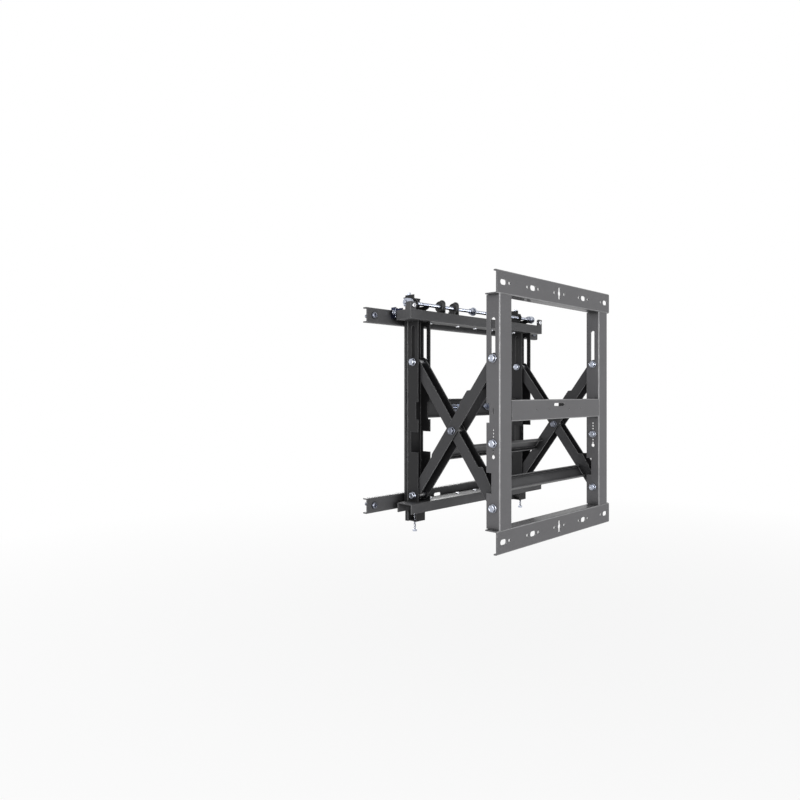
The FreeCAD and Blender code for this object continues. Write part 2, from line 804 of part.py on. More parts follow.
def pivot_hardware():
    bolts_and_nuts("wall_bolts", "wall_nuts", half_rail, [wall_lower, wall_stop])
    bolts_and_nuts("front_pivot_bolts", "front_pivot_nuts", half_rail, [front_lower])
    sliding_grip = half_rail + z.slide_gap
    bolts_and_nuts("wall_slide_bolts", "wall_slide_nuts", sliding_grip, [wall_upper])
    bolts_and_nuts("front_slide_bolts", "front_slide_nuts", sliding_grip, [front_upper])
    bolts_and_nuts("centre_bolts", "centre_nuts", outer_face, [centre])
    group("wall_bushes", both_faces("wall_bushes", [wall_lower], inner_face, inner_collar))
    bush_length = z.sheet + z.face_gap
    group("front_slide_bushes",
          both_faces("front_slide_bushes", [front_upper], inner_face, inner_collar, bush_length))
    group("wall_slide_bushes",
          both_faces("wall_slide_bushes", [wall_upper], outer_face, outer_collar, bush_length))
    group("outer_arm_washers",
          both_faces("pivot_washer", [front_lower], outer_face, outer_collar)
          + both_faces("centre_washer", [centre], inner_face, outer_face - z.sheet - inner_face
                       - 2 * z.face_gap))
    sleeves("inner_sleeves", [wall_lower, centre, front_upper], inner_face - z.sheet)
    sleeves("outer_sleeves", [wall_upper, front_lower], outer_face - z.sheet)


# Side adjuster on the top beam

beam_floor = front_top + z.sheet
rod_y = front_web_y + z.rod_depth
rod_up = front_top + z.rod_rise
bolt_line_y = front_web_y + z.beam_bolt_depth


def screw_strip(body, low):
    """Strip along a beam that its five screws hold."""
    half = z.strip_width / 2
    end = beam_bolt_end + z.strip_end
    pad(body, "z", low, low + z.sheet, rectangle(-end, bolt_line_y - half, end, bolt_line_y + half))
    pocket(body, "z", low - sheet_edge, low + z.sheet + sheet_edge,
           *[circle(x, bolt_line_y, z.small_bolt_radius + z.small_bolt_gap) for x in beam_bolts])


def adjust_block():
    """Strip on the top beam with one ear for the lock wheel and a fork for the other wheel."""
    body = new_body("adjust_block")
    screw_strip(body, beam_floor)
    half = z.ear_width / 2
    for high in (z.lock_ear_place, z.fork_place):
        low = high - z.sheet
        pad(body, "x", low, high, rectangle(rod_y - half, beam_floor, rod_y + half, rod_up + z.ear_rise))
        pad(body, "x", low, high, circle(rod_y, rod_up + z.ear_rise, half))
        pocket(body, "x", low - sheet_edge, high + sheet_edge,
               circle(rod_y, rod_up, z.rod_radius + z.rod_gap))
    low = z.fork_place + z.wheel_width + 2 * z.slide_gap
    pad(body, "x", low, low + z.sheet,
        rectangle(rod_y - half, beam_floor, rod_y + half, rod_up - z.wheel_radius + z.fork_grip))
    keep(body, "adjust_block")


def bottom_stiffener():
    """Strip under the bottom beam's web."""
    body = new_body("bottom_stiffener")
    screw_strip(body, front_bottom - 2 * z.sheet)
    keep(body, "bottom_stiffener")


def adjust_wheel(name, low):
    """Round nut on the rod that is turned by hand against an ear."""
    body = new_body(name)
    pad(body, "x", low, low + z.wheel_width, circle(rod_y, rod_up, z.wheel_radius))
    pocket(body, "x", low - sheet_edge, low + z.wheel_width + sheet_edge,
           circle(rod_y, rod_up, z.rod_radius + z.running_gap))
    doc.recompute()
    rims = [f"Edge{n}" for n, edge in enumerate(body.Tip.Shape.Edges, 1)
            if len(edge.Vertexes) == 1 and abs(edge.Curve.Radius - z.wheel_radius.number) < 0.01]
    chamfer = body.newObject("PartDesign::Chamfer", f"{name}_rim")
    chamfer.Base = (chamfer.BaseFeature, rims)
    bind(chamfer, "Size", z.wheel_groove)
    keep(body, name)


def hook_rod():
    keep(rod("hook_rod", "x", -rod_end, rod_y, rod_up, z.rod_radius, 2 * rod_end), "hook_rod")


def rod_nuts():
    """The nuts that keep the hook brackets on the rod, and the stop nut near its middle."""
    nuts = []
    shoulder = frame_side + z.slide_gap
    bore_radius = z.rod_radius + z.running_gap
    for side, sign in LEFT_RIGHT:
        low = shoulder if sign > 0 else -end_nut_end
        neck = rod(f"end_{side}_neck", "x", low, rod_y, rod_up, z.sleeve_radius, end_nut_end - shoulder)
        outer = end_nut_start + z.end_flange_length
        flange_low = end_nut_start if sign > 0 else -end_nut_end
        head_low = outer if sign > 0 else z.end_flange_length - end_nut_end
        flange = rod(f"end_{side}_flange", "x", flange_low, rod_y, rod_up,
                     z.end_flange_radius, z.end_flange_length)
        head = hexagon(f"end_{side}_hex", "x", head_low, rod_y, rod_up,
                       z.end_nut_across, z.end_nut_length)
        bore = rod(f"end_{side}_bore", "x", low, rod_y, rod_up, bore_radius, end_nut_end - shoulder)
        nuts.append(cut(f"end_{side}", fuse(f"end_{side}_blank", neck, flange, head), bore))
    disc = rod("stop_disc", "x", z.stop_nut_place, rod_y, rod_up,
               z.stop_nut_radius, z.stop_nut_flange)
    hub_low = z.stop_nut_place + z.stop_nut_flange
    hub = hexagon("stop_hub", "x", hub_low, rod_y, rod_up, z.hex_across, z.stop_nut_hub)
    hole = rod("stop_bore", "x", z.stop_nut_place, rod_y, rod_up, bore_radius,
               z.stop_nut_flange + z.stop_nut_hub)
    nuts.append(cut("stop", fuse("stop_blank", disc, hub), hole))
    group("rod_nuts", nuts)


def beam_end_caps():
    """End plates of the top beam, each with a leaf for a screw."""
    caps = []
    for side, sign in LEFT_RIGHT:
        body = new_body(f"beam_end_cap_{side}")
        top = front_top + z.beam_height
        front = front_web_y + beam_depth
        low = beam_end if sign > 0 else -beam_end - z.sheet
        pad(body, "x", low, low + z.sheet, rectangle(front_web_y, front_top, front, top))
        pad(body, "x", low, low + z.sheet,
            rectangle(front - z.cap_leaf, top, front, top + z.cap_rise))
        leaf_low = beam_end - z.cap_leaf if sign > 0 else -beam_end - z.sheet
        leaf_high = beam_end + z.sheet if sign > 0 else z.cap_leaf - beam_end
        pad(body, "y", front - z.sheet, front, rectangle(leaf_low, top, leaf_high, top + z.cap_rise))
        pocket(body, "y", front - z.sheet - sheet_edge, front + sheet_edge,
               circle(sign * (beam_end - z.cap_leaf / 2), top + z.cap_rise / 2,
                      z.small_bolt_radius + z.small_bolt_gap))
        caps.append(body)
    group("beam_end_caps", caps)


def small_screw(name, axis, x, y, up, direction):
    """Pan-head screw with its bearing face at a point; its shank runs in the direction."""
    step = {"x": (1, 0, 0), "y": (0, 1, 0), "z": (0, 0, 1)}[axis]

    def moved(distance):
        return [base + part * distance for base, part in zip((x, y, up), step)]

    length = z.small_bolt_length
    shank_start = moved(0 if direction > 0 else -length)
    head_start = moved(-z.small_head_height if direction > 0 else 0)
    shank = rod(f"{name}_shank", axis, *shank_start, z.small_bolt_radius, length)
    head = rod(f"{name}_head", axis, *head_start, z.small_head_radius, z.small_head_height)
    return fuse(name, shank, head)


def beam_screws():
    screws = []
    for n, x in enumerate(beam_bolts):
        screws.append(small_screw(f"top_screw_{n}", "z", x, bolt_line_y, front_top, 1))
        screws.append(small_screw(f"bottom_screw_{n}", "z", x, bolt_line_y, front_bottom, -1))
    front = front_web_y + beam_depth
    up = front_top + z.beam_height + z.cap_rise / 2
    for side, sign in LEFT_RIGHT:
        x = sign * (beam_end - z.cap_leaf / 2)
        screws.append(small_screw(f"cap_screw_{side}", "y", x, front, up, -1))
    group("beam_screws", screws)


# Hook brackets, before the front rails, and the screws that they carry

hook_back = -z.hook_gap - z.hook_flange
hook_top = rod_up + z.hook_over
hook_bottom = front_bottom - z.hook_under


def hook_bracket(side, sign):
    """Upright channel that hangs on the rod by two hooks and carries a bar link."""
    body = new_body(f"hook_bracket_{side}")
    inner = half_rail - z.sheet
    face = -z.hook_gap
    pad(body, "z", hook_bottom, hook_top, rectangle(-half_rail, hook_back, half_rail, face))
    round_edges(body, "z", [(-half_rail, face), (half_rail, face)], z.bend_radius)
    pocket(body, "z", hook_bottom - sheet_edge, hook_top + sheet_edge,
           rectangle(-inner, hook_back - sheet_edge, inner, face - z.sheet))
    through = half_rail + sheet_edge
    shelf = front_top + z.beam_height + z.hook_seat
    tongue = z.sheet + z.hook_seat
    saddle = rod_up - z.saddle_drop
    crown = hook_top + z.hook_crown
    for low, top in ((inner, crown), (-half_rail, saddle)):
        pad(body, "x", low, low + z.sheet, polygon(
            (hook_back, shelf), (tongue, shelf), (tongue, shelf - z.hook_tongue),
            (z.hook_tongue_depth, shelf - z.hook_tongue), (z.rod_depth, rod_up - z.hook_nose),
            (z.rod_depth, top), (hook_back, top)))
        pad(body, "x", low, low + z.sheet, circle(z.rod_depth, rod_up, z.hook_nose))
    nose = z.rod_depth + z.hook_nose + sheet_edge
    pocket(body, "x", -half_rail - sheet_edge, -inner + sheet_edge,
           rectangle(face, saddle, nose, crown))
    pocket(body, "x", -through, through, circle(z.rod_depth, rod_up, z.rod_radius + z.rod_gap))
    pad(body, "z", hook_top - z.sheet, hook_top,
        rectangle(-half_rail, -z.tab_depth, half_rail, face))
    pocket(body, "z", hook_top - z.sheet - sheet_edge, hook_top + sheet_edge,
           circle(sign * z.height_screw_side, -z.height_screw_depth, z.screw_radius + z.running_gap))
    foot_low = -z.foot_half_width
    foot_high = z.foot_half_width
    foot_front = hook_back + z.foot_depth
    pad(body, "z", hook_bottom, hook_bottom + z.sheet, rectangle(foot_low, hook_back, foot_high, foot_front))
    pad(body, "y", foot_front - z.sheet, foot_front,
        rectangle(foot_low, hook_bottom, foot_high, hook_bottom + z.foot_lip))
    pocket(body, "z", hook_bottom - sheet_edge, hook_bottom + z.sheet + sheet_edge,
           circle(sign * z.lock_screw_side, z.lock_screw_depth, z.screw_radius + z.running_gap))
    side_line = face - z.sheet - (z.hook_flange - z.sheet) / 2
    holes = []
    for step in (-3, -2, -1, 1, 2, 3):
        for hand in (-1, 1):
            up = step * z.side_hole_pitch + hand * z.side_hole_spread / 2
            holes.append(circle(side_line, up, z.side_hole_radius))
    for hand in (-1, 1):
        middle = hand * z.side_hole_pitch / 2
        reach = z.side_slot_length / 2 - z.side_hole_radius
        holes.append(slot(side_line, middle - reach, side_line, middle + reach, z.side_hole_radius))
    pocket(body, "x", -through, through, *holes)
    place(body, sign * rail_place, front_web_y)
    keep(body, body.Name)


def turning_screws():
    """The height screws on top of the hook brackets and the lock screws in their feet."""
    for side, sign in LEFT_RIGHT:
        x = sign * (rail_place + z.height_screw_side)
        y = front_web_y - z.height_screw_depth
        seat = hook_top + z.slide_gap
        low = link_top - z.sheet - z.weld_nut_height - z.height_screw_past
        shank = rod(f"height_{side}_shank", "z", x, y, low, z.screw_radius, seat - low)
        head = hexagon(f"height_{side}_head", "z", x, y, seat,
                       2 * z.screw_head_radius, z.height_head_height)
        keep(fuse(f"height_screw_{side}", shank, head), f"height_screw_{side}")
        x = sign * (rail_place + z.lock_screw_side)
        y = front_web_y + z.lock_screw_depth
        low = hook_bottom - z.lock_screw_drop
        top = front_bottom - z.sheet - z.slide_gap
        shank = rod(f"lock_{side}_shank", "z", x, y, low, z.screw_radius, top - low)
        head = hexagon(f"lock_{side}_head", "z", x, y, low - z.screw_head_height,
                       2 * z.screw_head_radius, z.screw_head_height)
        keep(fuse(f"lock_screw_{side}", shank, head), f"lock_screw_{side}")


# Carrier bars and their links

link_back = -z.link_offset
bar_face = link_back - z.sheet


def bar_link(side, sign):
    """Channel that slides up and down in the hook bracket and carries both bars."""
    body = new_body(f"bar_link_{side}")
    half = half_rail - z.sheet - z.link_gap
    inner = half - z.sheet
    low = -z.bar_spacing / 2 - z.bar_height / 2
    pad(body, "z", low, link_top, rectangle(-half, bar_face, half, bar_face + z.link_flange))
    round_edges(body, "z", [(-half, bar_face), (half, bar_face)], z.bend_radius)
    pocket(body, "z", low - sheet_edge, link_top - z.sheet,
           rectangle(-inner, link_back, inner, bar_face + z.link_flange + sheet_edge))
    nut = z.weld_nut_across / 2
    screw_y = -z.height_screw_depth
    screw_x = sign * z.height_screw_side
    pad(body, "z", link_top - z.sheet - z.weld_nut_height, link_top - z.sheet,
        rectangle(screw_x - nut, screw_y - nut, screw_x + nut, screw_y + nut))
    pocket(body, "z", link_top - z.sheet - z.weld_nut_height - sheet_edge, link_top + sheet_edge,
           circle(screw_x, screw_y, z.screw_radius + z.running_gap))
    place(body, sign * rail_place, front_web_y)
    keep(body, body.Name)


def carrier_bar(name, sign):
    """Channel across the front, open away from the wall."""
    body = new_body(name)
    half = z.bar_length / 2
    height = z.bar_height / 2
    rim = -z.bar_depth
    pad(body, "x", -half, half, polygon(
        (0, -height), (0, height), (rim, height), (rim, height - z.sheet),
        (-z.sheet, height - z.sheet), (-z.sheet, z.sheet - height), (rim, z.sheet - height),
        (rim, -height)))
    round_edges(body, "x", [(0, -height), (0, height)], z.bend_radius)
    holes = []
    reach = z.bar_slot_length / 2 - z.bar_hole_radius
    for hand in (-1, 1):
        holes.append(circle(hand * z.bar_hole_spacing / 2, 0, z.bar_hole_radius))
        for x in (z.bar_slot_inner, z.bar_slot_outer):
            holes.append(slot(hand * x - reach, 0, hand * x + reach, 0, z.bar_hole_radius))
    pocket(body, "y", -z.sheet - sheet_edge, sheet_edge, *holes)
    place(body, 0, front_web_y + bar_face, sign * z.bar_spacing / 2)
    keep(body, name)


def carrier_screws():
    """The four screws that stick out of the front for the load."""
    screws = []
    y = front_web_y + bar_face
    length = z.bar_depth + z.carrier_screw_reach
    for side, sign in LEFT_RIGHT:
        for end, hand in (("bottom", -1), ("top", 1)):
            x = sign * z.bar_hole_spacing / 2
            up = hand * z.bar_spacing / 2
            name = f"carrier_screw_{side}_{end}"
            shank = rod(f"{name}_shank", "y", x, y - length, up, z.bolt_radius, length)
            neck = rod(f"{name}_neck", "y", x, y - z.carrier_neck_length, up,
                       z.carrier_neck_radius, z.carrier_neck_length)
            head = rod(f"{name}_head", "y", x, y, up, z.carrier_screw_head, z.carrier_screw_head_height)
            screws.append(fuse(name, shank, neck, head))
    group("carrier_screws", screws)


def side_locks():
    """Clips on the upper bar with a screw that presses on the hook bracket's side."""
    clips = []
    back = front_web_y + bar_face
    low_up = z.bar_spacing / 2 + z.bar_height / 2 - z.clip_height + z.clip_rise / 2
    high_up = low_up + z.clip_height
    screw_y = front_web_y + hook_back + z.hook_flange / 2
    screw_up = low_up + z.clip_height / 2
    for side, sign in LEFT_RIGHT:
        body = new_body(f"side_clip_{side}")
        low = clip_start if sign > 0 else -clip_start - z.clip_width
        high = low + z.clip_width
        pad(body, "z", low_up, high_up, polygon(
            (low, back), (high, back), (high, back + z.clip_depth),
            (high - z.clip_sheet, back + z.clip_depth), (high - z.clip_sheet, back + z.clip_sheet),
            (low + z.clip_sheet, back + z.clip_sheet), (low + z.clip_sheet, back + z.clip_depth),
            (low, back + z.clip_depth)))
        pocket(body, "x", low - sheet_edge, high + sheet_edge,
               circle(screw_y, screw_up, z.screw_radius + z.running_gap))
        clips.append(body)
        tip = frame_side + z.slide_gap
        seat = clip_start + z.clip_width + z.face_gap
        shank_low = tip if sign > 0 else -seat
        shank = rod(f"side_lock_{side}_shank", "x", shank_low, screw_y, screw_up, z.screw_radius, seat - tip)
        head_low = seat if sign > 0 else -seat - z.screw_head_height
        head = hexagon(f"side_lock_{side}_head", "x", head_low, screw_y, screw_up,
                       2 * z.screw_head_radius, z.screw_head_height)
        keep(fuse(f"side_lock_screw_{side}", shank, head), f"side_lock_screw_{side}")
    group("side_lock_clips", clips)


# Push latches on the wall crossbar and their catch plates on the front frame's middle bar

travel = z.reach - z.closed_reach
latch_front = -z.sheet - z.latch_depth
plunger_tip = latch_front - z.plunger_length + z.latch_depth - z.latch_bore_end - z.plunger_travel


def latch(side, sign):
    """Latch housing with two ears, and the plunger that slides in it."""
    body = new_body(f"latch_housing_{side}")
    middle = sign * z.latch_place
    half = z.latch_width / 2
    low = z.crossbar_middle - z.latch_height / 2
    high = z.crossbar_middle + z.latch_height / 2
    ear = half + z.latch_ear
    pad(body, "z", low, high, polygon(
        (middle - ear, -z.sheet), (middle - ear, -2 * z.sheet), (middle - half, -2 * z.sheet),
        (middle - half, latch_front), (middle + half, latch_front), (middle + half, -2 * z.sheet),
        (middle + ear, -2 * z.sheet), (middle + ear, -z.sheet)))
    pocket(body, "y", latch_front - sheet_edge, -z.sheet - z.latch_bore_end,
           circle(middle, z.crossbar_middle, z.plunger_radius + z.running_gap))
    hole = z.latch_screw_radius + z.small_bolt_gap
    screw = half + z.latch_ear / 2
    pocket(body, "y", -2 * z.sheet - sheet_edge, -z.sheet + sheet_edge,
           circle(middle - screw, z.crossbar_middle, hole), circle(middle + screw, z.crossbar_middle, hole))
    keep(body, body.Name)
    plunger = new_body(f"latch_plunger_{side}")
    pad(plunger, "y", plunger_tip, plunger_tip + z.plunger_length,
        circle(middle, z.crossbar_middle, z.plunger_radius))
    keep(plunger, plunger.Name)


def latch_screws():
    screws = []
    seat = -2 * z.sheet
    for n, x in enumerate(latch_screw_places()):
        length = 2 * z.sheet - z.slide_gap
        shank = rod(f"latch_screw_{n}_shank", "y", x, seat, z.crossbar_middle, z.latch_screw_radius, length)
        head = rod(f"latch_screw_{n}_head", "y", x, seat - z.latch_screw_head_height, z.crossbar_middle,
                   z.latch_screw_head, z.latch_screw_head_height)
        screws.append(fuse(f"latch_screw_{n}", shank, head))
    group("latch_screws", screws)


def catch_plates():
    """Bright plates with a post that meets the plunger when the front frame is pushed in."""
    plates = []
    face = front_web_y + z.sheet
    post_end = plunger_tip - travel - z.catch_gap
    for side, sign in LEFT_RIGHT:
        body = new_body(f"catch_plate_{side}")
        middle = sign * z.latch_place
        half = z.catch_width / 2
        top = z.crossbar_middle + z.catch_height / 2
        low = z.crossbar_middle - z.catch_height / 2
        shoulder = z.crossbar_middle + z.catch_tip / 2
        pad(body, "y", face, face + z.catch_sheet, polygon(
            (middle - half, shoulder), (middle - z.catch_tip, low), (middle + z.catch_tip, low),
            (middle + half, shoulder), (middle + half, top), (middle - half, top)))
        inboard = middle - sign * half
        tip_low = inboard if sign > 0 else inboard - z.catch_tip / 2
        pad(body, "y", face, face + z.catch_tip + z.catch_sheet,
            rectangle(tip_low, shoulder, tip_low + z.catch_tip / 2, top))
        pad(body, "y", face, post_end, circle(middle, z.crossbar_middle, z.catch_post_radius))
        plates.append(body)
    group("catch_plates", plates)


# Assembly

for side, sign in LEFT_RIGHT:
    wall_rail(side, sign)
    inner_arm(side, sign)
    outer_arm(side, sign)
    front_rail(side, sign)
    hook_bracket(side, sign)
    bar_link(side, sign)
    latch(side, sign)
wall_plate("top", 1)
wall_plate("bottom", -1)
wall_crossbar()
latch_screws()
torsion_plate("inner_torsion_plate", z.inner_plate_low, z.inner_arm_width, wall_pivot_y, tilt)
torsion_plate("outer_torsion_plate", z.outer_plate_low, outer_arm_width, front_pivot_y, -tilt)
front_beam("front_top_beam", front_top, False)
front_beam("front_bottom_beam", front_bottom, True)
cross_channel("front_mid_bar", front_web_y, 1)
catch_plates()
pivot_hardware()
adjust_block()
bottom_stiffener()
adjust_wheel("adjust_wheel_inner", z.fork_place + z.slide_gap)
adjust_wheel("adjust_wheel_outer", z.lock_ear_place + z.slide_gap)
hook_rod()
rod_nuts()
beam_end_caps()
beam_screws()
turning_screws()
carrier_bar("carrier_bar_upper", 1)
carrier_bar("carrier_bar_lower", -1)
carrier_screws()
side_locks()

doc.recompute()
faults = [thing.Name for thing in doc.Objects if "Invalid" in thing.State or "Error" in thing.State]
assert not faults, faults
for thing in doc.Objects:
    if thing.TypeId == "PartDesign::Pocket":
        before = thing.BaseFeature.Shape.Volume
        assert thing.Shape.Volume < before - 0.01, f"{thing.Name} cuts nothing"
for node in nodes:
    assert not node.Shape.isNull() and node.Shape.isValid(), node.Label

os.makedirs("parts", exist_ok=True)
for node in nodes:
    node.Shape.exportStep(f"parts/{node.Label}.step")
print(f"{len(nodes)} sub-parts, folding travel {travel.number:.1f} mm, tilt {tilt:.2f} degrees")
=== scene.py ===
# %% [markdown]
# # A pop-out wall mount, dressed in Blender
#
# The real object is folded steel sheet under a dark powder coat, held together by zinc-plated bolts. Its
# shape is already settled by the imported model, so this lesson starts from that model and adds what the eye
# looks for: the finish of each metal, and the small turned parts with their chamfers, threads and recesses.
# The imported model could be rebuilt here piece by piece, but then nothing would promise that the sizes hold.
# Loading it as a fixed frame keeps them.

import bpy
import bmesh
import json
from math import acos, cos, degrees, pi, radians, sin, tan
from mathutils import Matrix, Vector

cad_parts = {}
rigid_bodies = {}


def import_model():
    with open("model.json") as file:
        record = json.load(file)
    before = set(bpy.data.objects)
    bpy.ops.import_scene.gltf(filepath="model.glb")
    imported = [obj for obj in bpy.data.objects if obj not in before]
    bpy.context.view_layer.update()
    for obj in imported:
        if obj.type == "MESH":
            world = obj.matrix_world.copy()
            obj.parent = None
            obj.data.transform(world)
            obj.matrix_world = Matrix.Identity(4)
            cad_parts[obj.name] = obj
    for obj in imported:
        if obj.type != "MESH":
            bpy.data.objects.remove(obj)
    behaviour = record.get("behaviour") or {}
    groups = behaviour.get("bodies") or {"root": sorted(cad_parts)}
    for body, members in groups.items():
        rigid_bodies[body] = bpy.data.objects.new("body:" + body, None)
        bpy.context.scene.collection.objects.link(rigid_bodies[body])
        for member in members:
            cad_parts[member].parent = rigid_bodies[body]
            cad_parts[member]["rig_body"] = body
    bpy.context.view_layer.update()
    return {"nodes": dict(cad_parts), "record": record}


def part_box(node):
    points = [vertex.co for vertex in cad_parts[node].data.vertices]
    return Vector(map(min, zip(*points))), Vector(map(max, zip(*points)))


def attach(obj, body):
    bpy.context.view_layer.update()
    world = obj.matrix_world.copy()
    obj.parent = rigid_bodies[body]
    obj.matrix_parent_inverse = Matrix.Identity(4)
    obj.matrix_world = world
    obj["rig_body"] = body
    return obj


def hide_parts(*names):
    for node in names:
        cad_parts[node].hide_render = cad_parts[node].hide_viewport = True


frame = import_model()
MM = 0.001

# %% [markdown]
# ## The camera
#
# The picture was taken level with the crossbar, from behind the mount and from its right. A camera could be
# aimed with a Track To constraint, but a view that is exactly level keeps upright edges upright, so the
# direction is given as two right angles instead: 90 degrees up from looking at the floor, then a turn of
# 135 degrees about the vertical. The small shift moves the frame, not the perspective.

# %% Place the camera
EYE = (1.201, 0.7193, 0.0385)
FOCAL_LENGTH = 28.44

lens = bpy.data.cameras.new("camera")
lens.sensor_width = 36
lens.lens = FOCAL_LENGTH
lens.shift_x = -0.00125
lens.shift_y = -0.01
lens.clip_start = 0.05
camera = bpy.data.objects.new("camera", lens)
camera.location = EYE
camera.rotation_euler = (radians(90), 0, radians(135))
bpy.context.scene.collection.objects.link(camera)
bpy.context.scene.camera = camera
bpy.context.scene.view_settings.view_transform = "Standard"
print("camera at", EYE, "m, lens", FOCAL_LENGTH, "mm")

# %% [markdown]
# ## Floor and background
#
# The picture has a plain white ground. More lamp light would bleach the object too, so the white comes from
# what the rays are told: a ray that the camera sends, or one that mirrors off metal or passes glass, finds
# white, and every other ray finds a softer grey that lights the object. On the floor only part of the answer
# is fixed white. The rest is ordinary matt paint, and that part still shows the object's shadow. The fixed
# part grows with the distance, so that no line shows where the floor ends.

# %% Ask which rays show the background
def combine(nodes, links, operation, first, second):
    """One sum, such as MAXIMUM or MULTIPLY, on the outputs of two nodes."""
    step = nodes.new("ShaderNodeMath")
    step.operation = operation
    links.new(first, step.inputs[0])
    links.new(second, step.inputs[1])
    return step.outputs[0]


def seen_rays(nodes, links):
    """1 for a ray that shows the background: from the camera, a reflection or a transmission."""
    path = nodes.new("ShaderNodeLightPath")
    direct = combine(nodes, links, "MAXIMUM", path.outputs["Is Camera Ray"], path.outputs["Is Glossy Ray"])
    return combine(nodes, links, "MAXIMUM", direct, path.outputs["Is Transmission Ray"])


print("three kinds of rays show the background")

# %% Make the world
LIGHT_GREY = (0.16, 0.16, 0.163, 1)

world = bpy.data.worlds.new("studio")
world.use_nodes = True
tree = world.node_tree
tree.nodes.clear()
lit = tree.nodes.new("ShaderNodeBackground")
lit.inputs["Color"].default_value = LIGHT_GREY
shown = tree.nodes.new("ShaderNodeBackground")
shown.inputs["Color"].default_value = (1, 1, 1, 1)
choose = tree.nodes.new("ShaderNodeMixShader")
end = tree.nodes.new("ShaderNodeOutputWorld")
tree.links.new(seen_rays(tree.nodes, tree.links), choose.inputs[0])
tree.links.new(lit.outputs[0], choose.inputs[1])
tree.links.new(shown.outputs[0], choose.inputs[2])
tree.links.new(choose.outputs[0], end.inputs["Surface"])
bpy.context.scene.world = world
print("world lights with grey", LIGHT_GREY[0])

# %% Paint the floor
WHITE_SHARE_NEAR = 0.86
FADE_START = 0.5
FADE_END = 2.2

paint = bpy.data.materials.new("floor_paint")
paint.use_nodes = True
tree = paint.node_tree
tree.nodes.clear()
matt = tree.nodes.new("ShaderNodeBsdfDiffuse")
grain = tree.nodes.new("ShaderNodeTexNoise")
grain.inputs["Scale"].default_value = 3
tone = tree.nodes.new("ShaderNodeMapRange")
tone.inputs["To Min"].default_value = 0.62
tone.inputs["To Max"].default_value = 0.66
tree.links.new(grain.outputs["Fac"], tone.inputs["Value"])
tree.links.new(tone.outputs["Result"], matt.inputs["Color"])
white = tree.nodes.new("ShaderNodeEmission")
spot = tree.nodes.new("ShaderNodeNewGeometry")
away = tree.nodes.new("ShaderNodeVectorMath")
away.operation = "LENGTH"
tree.links.new(spot.outputs["Position"], away.inputs[0])
fade = tree.nodes.new("ShaderNodeMapRange")
fade.inputs["From Min"].default_value = FADE_START
fade.inputs["From Max"].default_value = FADE_END
fade.inputs["To Min"].default_value = WHITE_SHARE_NEAR
tree.links.new(away.outputs["Value"], fade.inputs["Value"])
share = combine(tree.nodes, tree.links, "MULTIPLY", seen_rays(tree.nodes, tree.links), fade.outputs["Result"])
choose = tree.nodes.new("ShaderNodeMixShader")
end = tree.nodes.new("ShaderNodeOutputMaterial")
tree.links.new(share, choose.inputs[0])
tree.links.new(matt.outputs[0], choose.inputs[1])
tree.links.new(white.outputs[0], choose.inputs[2])
tree.links.new(choose.outputs[0], end.inputs["Surface"])
print("floor is all white from", FADE_END, "m out")

# %% Lay the floor
FLOOR_HEIGHT = -0.52
FLOOR_REACH = 12

plane = bmesh.new()
bmesh.ops.create_grid(plane, x_segments=1, y_segments=1, size=FLOOR_REACH)
bmesh.ops.translate(plane, verts=plane.verts, vec=(0, 0, FLOOR_HEIGHT))
floor_mesh = bpy.data.meshes.new("floor")
plane.to_mesh(floor_mesh)
plane.free()
floor = bpy.data.objects.new("floor", floor_mesh)
floor_mesh.materials.append(paint)
bpy.context.scene.collection.objects.link(floor)
print("floor at", FLOOR_HEIGHT, "m")

# %% [markdown]
# ## Soft studio light
#
# The faces that look at the wall and the sides that look at the camera are both mid grey in the picture, and
# faces that look up or down are darker. Soft lamps at the object's own height do that, where a lamp overhead
# would brighten the upward faces. Each lamp is a rectangle, because a wide source gives soft shadow edges,
# and one is a tall strip beside the camera, which draws a line of light along the upright bends. Power is
# worked out from how bright it would make a white card, so a lamp can move and the picture stays.

# %% Hang the lamps
MIDDLE = (0, -0.1, 0)


def soft_lamp(name, place, look_at, width, height, level):
    """Area lamp that gives a white card at look_at about that level."""
    light = bpy.data.lights.new(name, "AREA")
    light.shape = "RECTANGLE"
    light.size = width
    light.size_y = height
    reach = Vector(look_at) - Vector(place)
    light.energy = level * pi * pi * reach.length_squared
    lamp = bpy.data.objects.new(name, light)
    lamp.location = place
    lamp.rotation_euler = reach.to_track_quat("-Z", "Y").to_euler()
    lamp.visible_camera = False
    bpy.context.scene.collection.objects.link(lamp)
    print(name, "power", round(light.energy, 1), "W")


soft_lamp("key_lamp", (0.35, 1.7, 0.08), MIDDLE, width=1.4, height=0.7, level=0.66)
soft_lamp("strip_lamp", (1.5, 0.95, 0.12), (0.1, -0.1, 0), width=0.30, height=0.9, level=0.46)
soft_lamp("side_lamp", (2.1, -0.2, 0.15), MIDDLE, width=1.0, height=0.7, level=0.34)
soft_lamp("front_lamp", (-1.2, -2.2, 0.6), MIDDLE, width=1.6, height=1.0, level=0.48)

# %% [markdown]
# ## Powder coat
#
# Powder coat is melted onto the steel, so it lies a little rounded over every edge and has a fine grain like
# orange peel. The colour could be one dark grey, but on the real sheet it drifts. On top of that the shader
# paints shade deep in the channels, and paints edges and bends lighter: on edges partly rubbed wear and
# partly a painted highlight, on bends a painted highlight. Painting such marks by hand would tie them to one
# shape, so the shader finds the places itself. A Bevel node gives a rounded direction, and where it differs
# from the true one there is an edge. An Ambient Occlusion node tells open faces from channels. On a bend the
# direction lies between those of the flat faces, which simple sums on its squares show. A thin gloss lies
# over it all.

# %% Helpers that mix numbers and colours
def start_finish(name):
    """A new material and the parts of its node tree."""
    finish = bpy.data.materials.new(name)
    finish.use_nodes = True
    nodes = finish.node_tree.nodes
    return finish, nodes, finish.node_tree.links, nodes["Principled BSDF"]


